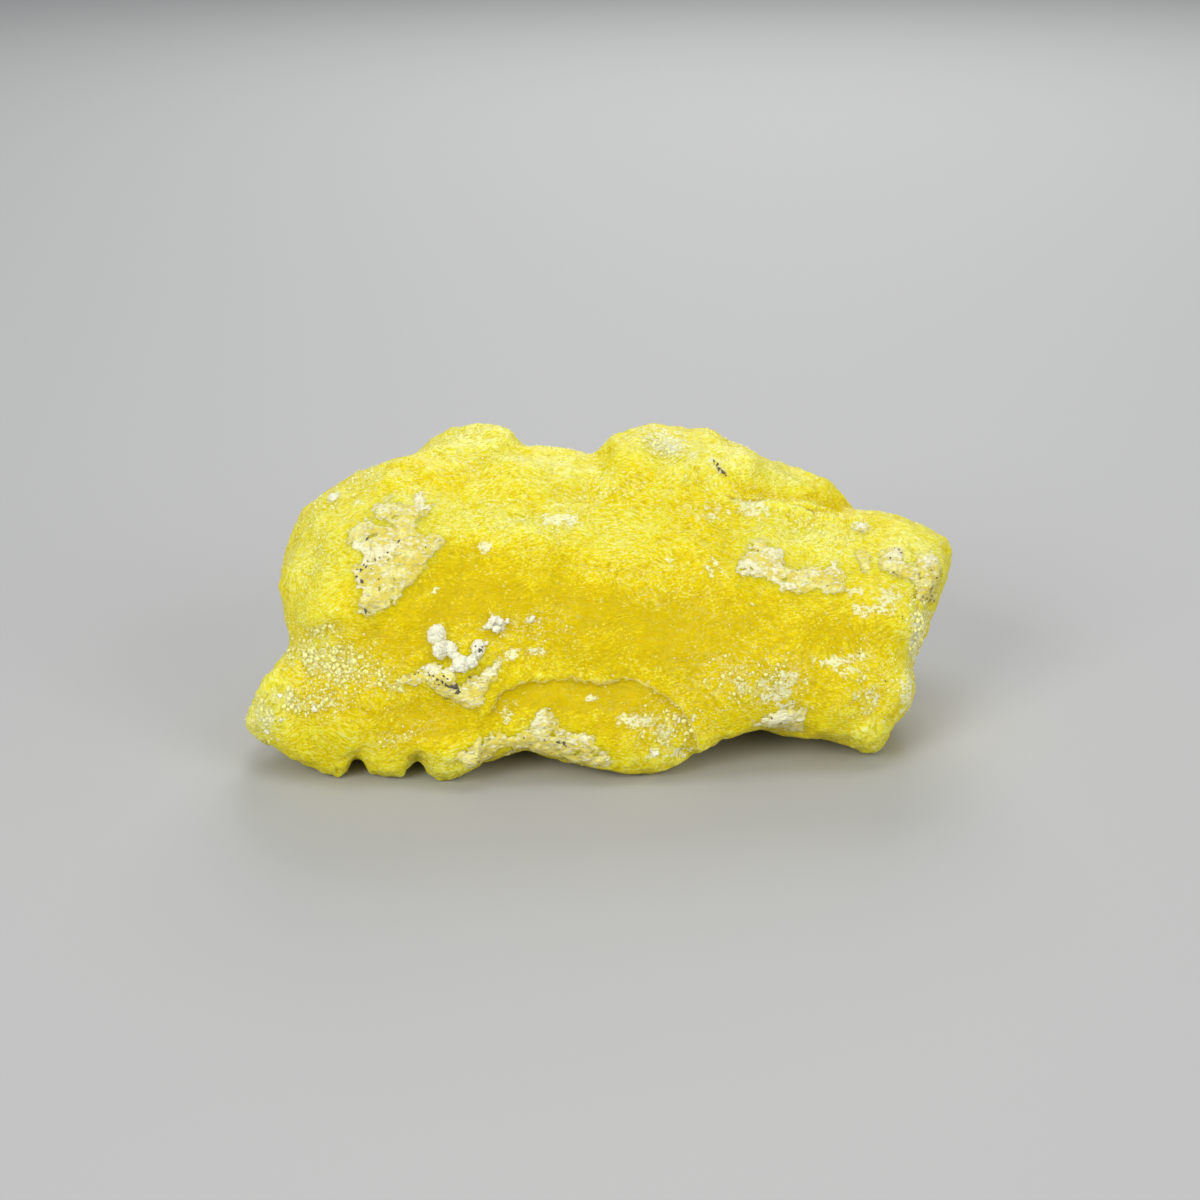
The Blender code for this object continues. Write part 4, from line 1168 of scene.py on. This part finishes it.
def crust_plate(name, view, outline):
    """One crust, laid on the skin where its outline is seen on a map."""
    corners = np.array(outline)
    low, high = corners.min(0) - CRUST_MARGIN, corners.max(0) + CRUST_MARGIN
    columns, rows = (np.ceil((high - low) / GRID_STEP).astype(int) + 1).tolist()
    spots = np.array([low + GRID_STEP * np.array((i, j)) for j in range(rows) for i in range(columns)])
    within = depth_inside(spots, outline)
    if view is FRONT:
        holes = [(*hole, HOLE_STRENGTH) for hole in HOLES]
        within -= HOLE_DEPTH * patches_on(spots, np.ones(len(spots)), holes)
    tops, roots, rises = {}, {}, {}
    for k, (spot, depth) in enumerate(zip(spots, within)):
        if depth < -CRUST_MARGIN:
            continue
        ray = view.ray(*spot.tolist())
        place = skin_tree.ray_cast(view.eye, ray)[0]
        if place is None:
            continue
        in_mm = place / MM
        depth += sum(noise_at(in_mm, size, reach) for size, reach in TORN)
        lift = (coarse_tree.find_nearest(place)[1] - ray).normalized()
        proud = min(depth * CRUST_SLOPE, CRUST_RISE + noise_at(in_mm, *CRUST_WAVES))
        rises[k] = max(proud + noise_at(in_mm, *CRUST_GRAIN), -CRUST_ROOT / 2)
        tops[k] = place + lift * rises[k] * MM
        roots[k] = place - lift * CRUST_ROOT * MM
    quads = []
    for j in range(rows - 1):
        for i in range(columns - 1):
            k = j * columns + i
            quad = (k, k + 1, k + 1 + columns, k + columns)
            if not all(c in tops for c in quad) or max(rises[c] for c in quad) < LEAST_RISE:
                continue
            if max((tops[a] - tops[b]).length for a, b in zip(quad, quad[1:] + quad[:1])) < LONGEST_SIDE:
                quads.append(quad)
    return closed_plate(name, tops, roots, quads)


def joined(name, meshes, material):
    """One piece from several meshes, with faces outwards and shaded smooth."""
    shape = bmesh.new()
    for mesh in meshes:
        shape.from_mesh(mesh)
        bpy.data.meshes.remove(mesh)
    bmesh.ops.recalc_face_normals(shape, faces=shape.faces[:])
    whole = bpy.data.meshes.new(name)
    shape.to_mesh(whole)
    shape.free()
    whole.shade_smooth()
    whole.materials.append(material)
    return shown(name, whole)


plates = [crust_plate(name, view, outline) for side, view in SIDES for name, outline in CRUSTS[side].items()]
crusts = joined("vein_crusts", plates, chalky)
set_value(crusts.data, "bleach", patchwork(*points_of(crusts.data), BLEACHED))
print("plates of crust:", len(plates))

# %% [markdown]
# ## Nodules and a ring of beads
#
# Small white nodules sit on the stone in strings, each a ball of beads like a cauliflower, and one lot forms
# a ring. Near them lie dark grains of the vein's wall. All of them are balls on points, so one Geometry
# Nodes tree makes them: it puts a ball on each point, sized by the point's own radius, and raises beads on
# all the balls together, so that no two are alike. The points are found by rays from the maps.

# %% Places of the balls
# u, v and radius in millimetres
NODULES = {
    "front": [
        (-16.3, -3.5, 0.95), (-15.8, -4.2, 0.5), (-16.0, -5.1, 0.8), (-15.0, -4.9, 0.75), (-14.4, -5.6, 0.5),
        (-13.9, -6.4, 0.9), (-12.9, -6.2, 0.75), (-12.2, -4.9, 0.75), (-12.6, -5.6, 0.45),
        (-11.5, -4.4, 0.35), (-14.8, -6.9, 0.45), (-17.2, -6.9, 0.4), (-26.7, 10.2, 0.5), (-26.2, 10.5, 0.35),
        (26.1, 7.3, 0.45), (-6.8, -1.9, 0.4), (-9.3, -2.1, 0.3), (5.5, -15.3, 0.4), (7.9, -12.0, 0.25),
        (9.3, -12.0, 0.25), (-33.3, -13.1, 0.35), (-32.0, -9.6, 0.3), (-28.6, -10.8, 0.35),
        (-31.9, -11.9, 0.25),
    ],
    "behind": [
        (-12.0, 3.0, 0.9), (-11.0, 2.2, 0.7), (-12.6, 1.6, 0.8), (-10.8, 0.8, 0.5), (10.0, 6.0, 0.8),
        (11.2, 6.6, 0.6), (3.0, 5.0, 0.6), (3.8, 5.5, 0.45), (20.0, -2.0, 0.7), (21.0, -2.8, 0.9),
        (-27.0, -4.0, 0.6),
    ],
}
# u, v, radius of the ring, radius of its beads and their number
RING = (-10.4, -2.4, 0.6, 0.36, 9)
RING_HEIGHT = 0.8  # of the ring on the map, for a width of 1
UNEVEN_REACH, UNEVEN_BEADS = 0.25, 0.3  # how far the beads' places and sizes stray, as shares
REACH_STEP, BEAD_STEP = 2.3, 3.1  # radians from bead to bead in the waves that make them stray
DARK_GRAINS = {
    "front": [
        (-23.3, 6.05, 0.20), (-20.1, 5.85, 0.24), (-17.4, 5.25, 0.15), (-21.3, 4.75, 0.16),
        (-24.25, 2.3, 0.20), (-23.8, 1.9, 0.26), (-22.1, 2.1, 0.15), (-23.4, -1.1, 0.24), (-24.3, 3.1, 0.16),
        (-23.9, 3.0, 0.2), (-23.4, 3.3, 0.15), (-22.9, 3.1, 0.13), (-23.2, 3.8, 0.12), (-22.5, 4.0, 0.12),
        (-22.0, 4.2, 0.10), (-23.6, 3.5, 0.18), (-19.0, -7.7, 0.12), (-18.6, -7.45, 0.13),
        (-18.2, -7.3, 0.14), (-17.6, -7.25, 0.14), (-17.1, -7.4, 0.16), (-16.7, -7.6, 0.16),
        (-16.3, -7.9, 0.2), (-15.8, -8.2, 0.24), (-15.4, -8.45, 0.24), (-16.1, -8.5, 0.15),
        (-15.6, -7.6, 0.15), (-15.2, -7.9, 0.16), (-16.6, -8.3, 0.13), (-14.9, -8.6, 0.28),
        (-14.4, -8.7, 0.45), (-14.2, -9.1, 0.32), (-15.4, -9.8, 0.19), (-13.0, -7.7, 0.13),
        (-14.8, -7.2, 0.10), (-12.0, -5.1, 0.28), (-12.4, -4.7, 0.14), (-11.8, -4.7, 0.15),
        (-12.5, -5.2, 0.13), (-7.6, -13.9, 0.13), (-5.5, -14.0, 0.14), (-4.2, -14.2, 0.18),
        (-3.6, -14.3, 0.22), (-3.4, -14.6, 0.14), (15.6, 5.2, 0.10), (15.8, 4.9, 0.09), (17.4, 3.3, 0.10),
        (17.9, 2.8, 0.08), (19.4, 2.9, 0.13), (19.7, 2.95, 0.11), (21.3, 1.9, 0.10), (22.8, 1.4, 0.13),
        (23.1, 1.7, 0.12), (24.2, 1.8, 0.09), (29.5, 5.2, 0.12), (29.8, 5.0, 0.13), (30.1, 4.7, 0.12),
        (29.0, 4.2, 0.10), (29.7, 2.5, 0.12), (29.3, 2.8, 0.10), (33.6, 3.9, 0.09), (33.1, 3.0, 0.12),
        (33.7, 2.2, 0.13), (32.3, 0.3, 0.12), (32.7, 0.15, 0.12), (33.1, 0.0, 0.15), (33.4, -0.1, 0.15),
        (30.2, -1.6, 0.09), (30.25, -1.9, 0.08), (17.2, -11.8, 0.17), (11.4, 13.9, 0.2), (11.7, 13.5, 0.28),
        (11.9, 13.1, 0.26), (12.3, 12.8, 0.3), (12.6, 12.4, 0.2), (26.0, -5.3, 0.12), (28.5, -8.1, 0.10),
    ],
    "behind": [
        (-21.0, 3.0, 0.2), (-20.2, 2.4, 0.16), (-19.4, 1.0, 0.2), (-22.6, 2.0, 0.12), (2.0, -1.9, 0.2),
        (3.4, -2.6, 0.16), (5.2, -0.9, 0.14), (6.4, -1.6, 0.2), (19.4, 4.8, 0.18), (20.8, 3.9, 0.12),
        (-11.6, 2.4, 0.2), (20.7, -2.1, 0.2),
    ],
}


def ring_of_balls(u, v, radius, bead, count):
    """The beads of a ring, as balls, spaced and sized a little unevenly."""
    balls = []
    for k in range(count):
        angle = 2 * math.pi * k / count
        reach = radius * (1 + UNEVEN_REACH * math.sin(REACH_STEP * k + u))
        size = bead * (1 + UNEVEN_BEADS * math.cos(BEAD_STEP * k + v))
        balls.append((u + reach * math.cos(angle), v + RING_HEIGHT * reach * math.sin(angle), size))
    return balls


def points_on(tree, balls_by_side, sunk):
    """Loose points on the skin, each with its ball's radius. A ball's middle is sunk by a share of that."""
    spots, radii = [], []
    for side, view in SIDES:
        for u, v, radius in balls_by_side[side]:
            place, normal, _, _ = tree.ray_cast(view.eye, view.ray(u, v))
            if place is not None:
                spots.append(place - normal * sunk * radius * MM)
                radii.append(radius * MM)
    mesh = bpy.data.meshes.new("points")
    mesh.from_pydata(spots, [], [])
    set_value(mesh, "radius", radii)
    return mesh


print("nodules in front:", len(NODULES["front"]), "and dark grains:", len(DARK_GRAINS["front"]))


# %% Ball tree
def random_vector(tree, low, high, seed):
    """A vector for each point, drawn between two others."""
    inputs = {0: low, 1: high, "Seed": seed}
    return add(tree, "FunctionNodeRandomValue", inputs, data_type="FLOAT_VECTOR").outputs[0]


def random_turn(tree, seed):
    """Any turn, for each point."""
    return random_vector(tree, (-math.pi,) * 3, (math.pi,) * 3, seed)


def copies_on(tree, points, shape, turn, size):
    """Copies of a shape on points, made real."""
    inputs = {"Points": points, "Instance": shape, "Rotation": turn, "Scale": size}
    copies = add(tree, "GeometryNodeInstanceOnPoints", inputs).outputs[0]
    return add(tree, "GeometryNodeRealizeInstances", {0: copies}).outputs[0]


def end_tree(tree, shape, finish, result):
    """Gives a shape its finish, as the last step of a tree."""
    finished = add(tree, "GeometryNodeSetMaterial", {"Geometry": shape, "Material": finish}).outputs[0]
    tree.links.new(finished, result.inputs[0])
    print(f"{tree.name}: {len(tree.nodes)} nodes")


balls, given, result = new_tree(
    "Balls on points",
    "GeometryNodeTree",
    [
        ("Points", GEOMETRY, None),
        ("Roundness", WHOLE, 4),
        ("Bead Size", FLOAT, 0.5),
        ("Bead Height", FLOAT, 0.2),
        ("Flatness", FLOAT, 0.85),
        ("Seed", WHOLE, 3),
        ("Finish", FINISH, None),
    ],
    [("Balls", GEOMETRY)],
)
turn = random_turn(balls, given["Seed"])
long = random_vector(balls, (0.75, 0.85, 0.85), (1.35, 1.1, 1.1), calc(balls, "ADD", given["Seed"], 1.0))
squash = add(balls, "ShaderNodeCombineXYZ", {0: 1.0, 1: 1.0, 2: given["Flatness"]}).outputs[0]
size = scaled(balls, vector(balls, "MULTIPLY", squash, long), stored(balls, "radius"))
ball = add(balls, "GeometryNodeMeshIcoSphere", {"Radius": 1.0, "Subdivisions": given["Roundness"]}).outputs[0]
real = copies_on(balls, given["Points"], ball, turn, size)
here = balls.nodes.new("GeometryNodeInputPosition").outputs[0]
beads = round_cells(balls, here, calc(balls, "DIVIDE", 1 / MM, given["Bead Size"]), 0.15).outputs["Distance"]
swell = times(balls, calc(balls, "SUBTRACT", 0.4, beads), times(balls, given["Bead Height"], MM))
push = scaled(balls, balls.nodes.new("GeometryNodeInputNormal").outputs[0], swell)
beaded = add(balls, "GeometryNodeSetPosition", {"Geometry": real, "Offset": push}).outputs[0]
soft = add(balls, "GeometryNodeSetShadeSmooth", {"Geometry": beaded}).outputs[0]
end_tree(balls, soft, given["Finish"], result)

# %% Nodules
NODULES["front"] += ring_of_balls(*RING)
nodule_points = points_on(skin_tree, NODULES, sunk=0.1)
beading = dict(Roundness=4, Bead_Size=0.36, Bead_Height=0.32)
nodules = shown("nodules", run_nodes(nodule_points, balls, Finish=white, **beading))

# %% [markdown]
# ## Dark grains lie on whatever is uppermost
#
# The dark grains sit on crusts and nodules as well as on bare stone, so their rays have to meet all three.

# %% Dark grains
shape = bmesh.new()
for mesh in (skin, crusts.data, nodules.data):
    shape.from_mesh(mesh)
top_tree = BVHTree.FromBMesh(shape)
shape.free()
dark_points = points_on(top_tree, DARK_GRAINS, sunk=0.25)
beading = dict(Roundness=3, Bead_Size=0.22, Bead_Height=0.24, Flatness=0.6)
dark_grains = shown("dark_grains", run_nodes(dark_points, balls, Finish=dark, **beading))

# %% [markdown]
# ## Sugar grains
#
# What looks like frost on the stone is thousands of loose grains, each a few tenths of a millimetre wide.
# Points are spread over the skin's faces, more where "frost" is strong, and each gets a small, turned and
# stretched crystal, larger where the frost is thick.

# %% Grain tree
FROST_POWER = 1.9  # how steeply the grains thicken with the frost
SIZE_POWER = 2.2  # how rare the large grains are
SIZE_EVERYWHERE = 0.15  # share of a grain's size that is left where there is no frost

grains, given, result = new_tree(
    "Scattered grains",
    "GeometryNodeTree",
    [
        ("Skin", GEOMETRY, None),
        ("Per Square Millimetre", FLOAT, 1.0),
        ("Frost Share", FLOAT, 1.0),
        ("Smallest", FLOAT, 0.08),
        ("Largest", FLOAT, 0.22),
        ("Seed", WHOLE, 1),
        ("Finish", FINISH, None),
    ],
    [("Grains", GEOMETRY)],
)
frost = stored(grains, "frost")
seeds = [given["Seed"]] + [calc(grains, "ADD", given["Seed"], step) for step in (1.0, 2.0, 3.0)]
thick = calc(grains, "SUBTRACT", calc(grains, "POWER", frost, FROST_POWER), 1.0)
thick = calc(grains, "ADD", times(grains, thick, given["Frost Share"]), 1.0)
density = times(grains, times(grains, thick, given["Per Square Millimetre"]), 1 / MM**2)
sowing = {"Mesh": given["Skin"], "Density": density, "Seed": seeds[0]}
sown = add(grains, "GeometryNodeDistributePointsOnFaces", sowing).outputs["Points"]
turn = random_turn(grains, seeds[1])
draw = add(grains, "FunctionNodeRandomValue", {2: 0.0, 3: 1.0, "Seed": seeds[2]}).outputs[1]
span = calc(grains, "SUBTRACT", given["Largest"], given["Smallest"])
width = times(grains, fitted(grains, calc(grains, "POWER", draw, SIZE_POWER), span, given["Smallest"]), MM)
width = times(grains, width, fitted(grains, frost, 1.0, SIZE_EVERYWHERE))
long = random_vector(grains, (0.7, 0.7, 0.7), (1.5, 1.2, 1.0), seeds[3])
crystal = add(grains, "GeometryNodeMeshIcoSphere", {"Radius": 1.0, "Subdivisions": 1}).outputs[0]
end_tree(grains, copies_on(grains, sown, crystal, turn, scaled(grains, long, width)), given["Finish"], result)

# %% White grains
sowing = dict(Per_Square_Millimetre=5.4, Frost_Share=1.0, Smallest=0.10, Largest=0.28, Seed=11)
white_grains = shown("white_grains", run_nodes(skin, grains, Finish=frosty, **sowing))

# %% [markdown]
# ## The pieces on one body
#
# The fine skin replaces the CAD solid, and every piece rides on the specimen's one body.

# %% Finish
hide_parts("brucite_mass")
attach(brucite, "root")
for piece in (crusts, nodules, dark_grains, white_grains):
    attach(piece, "root")
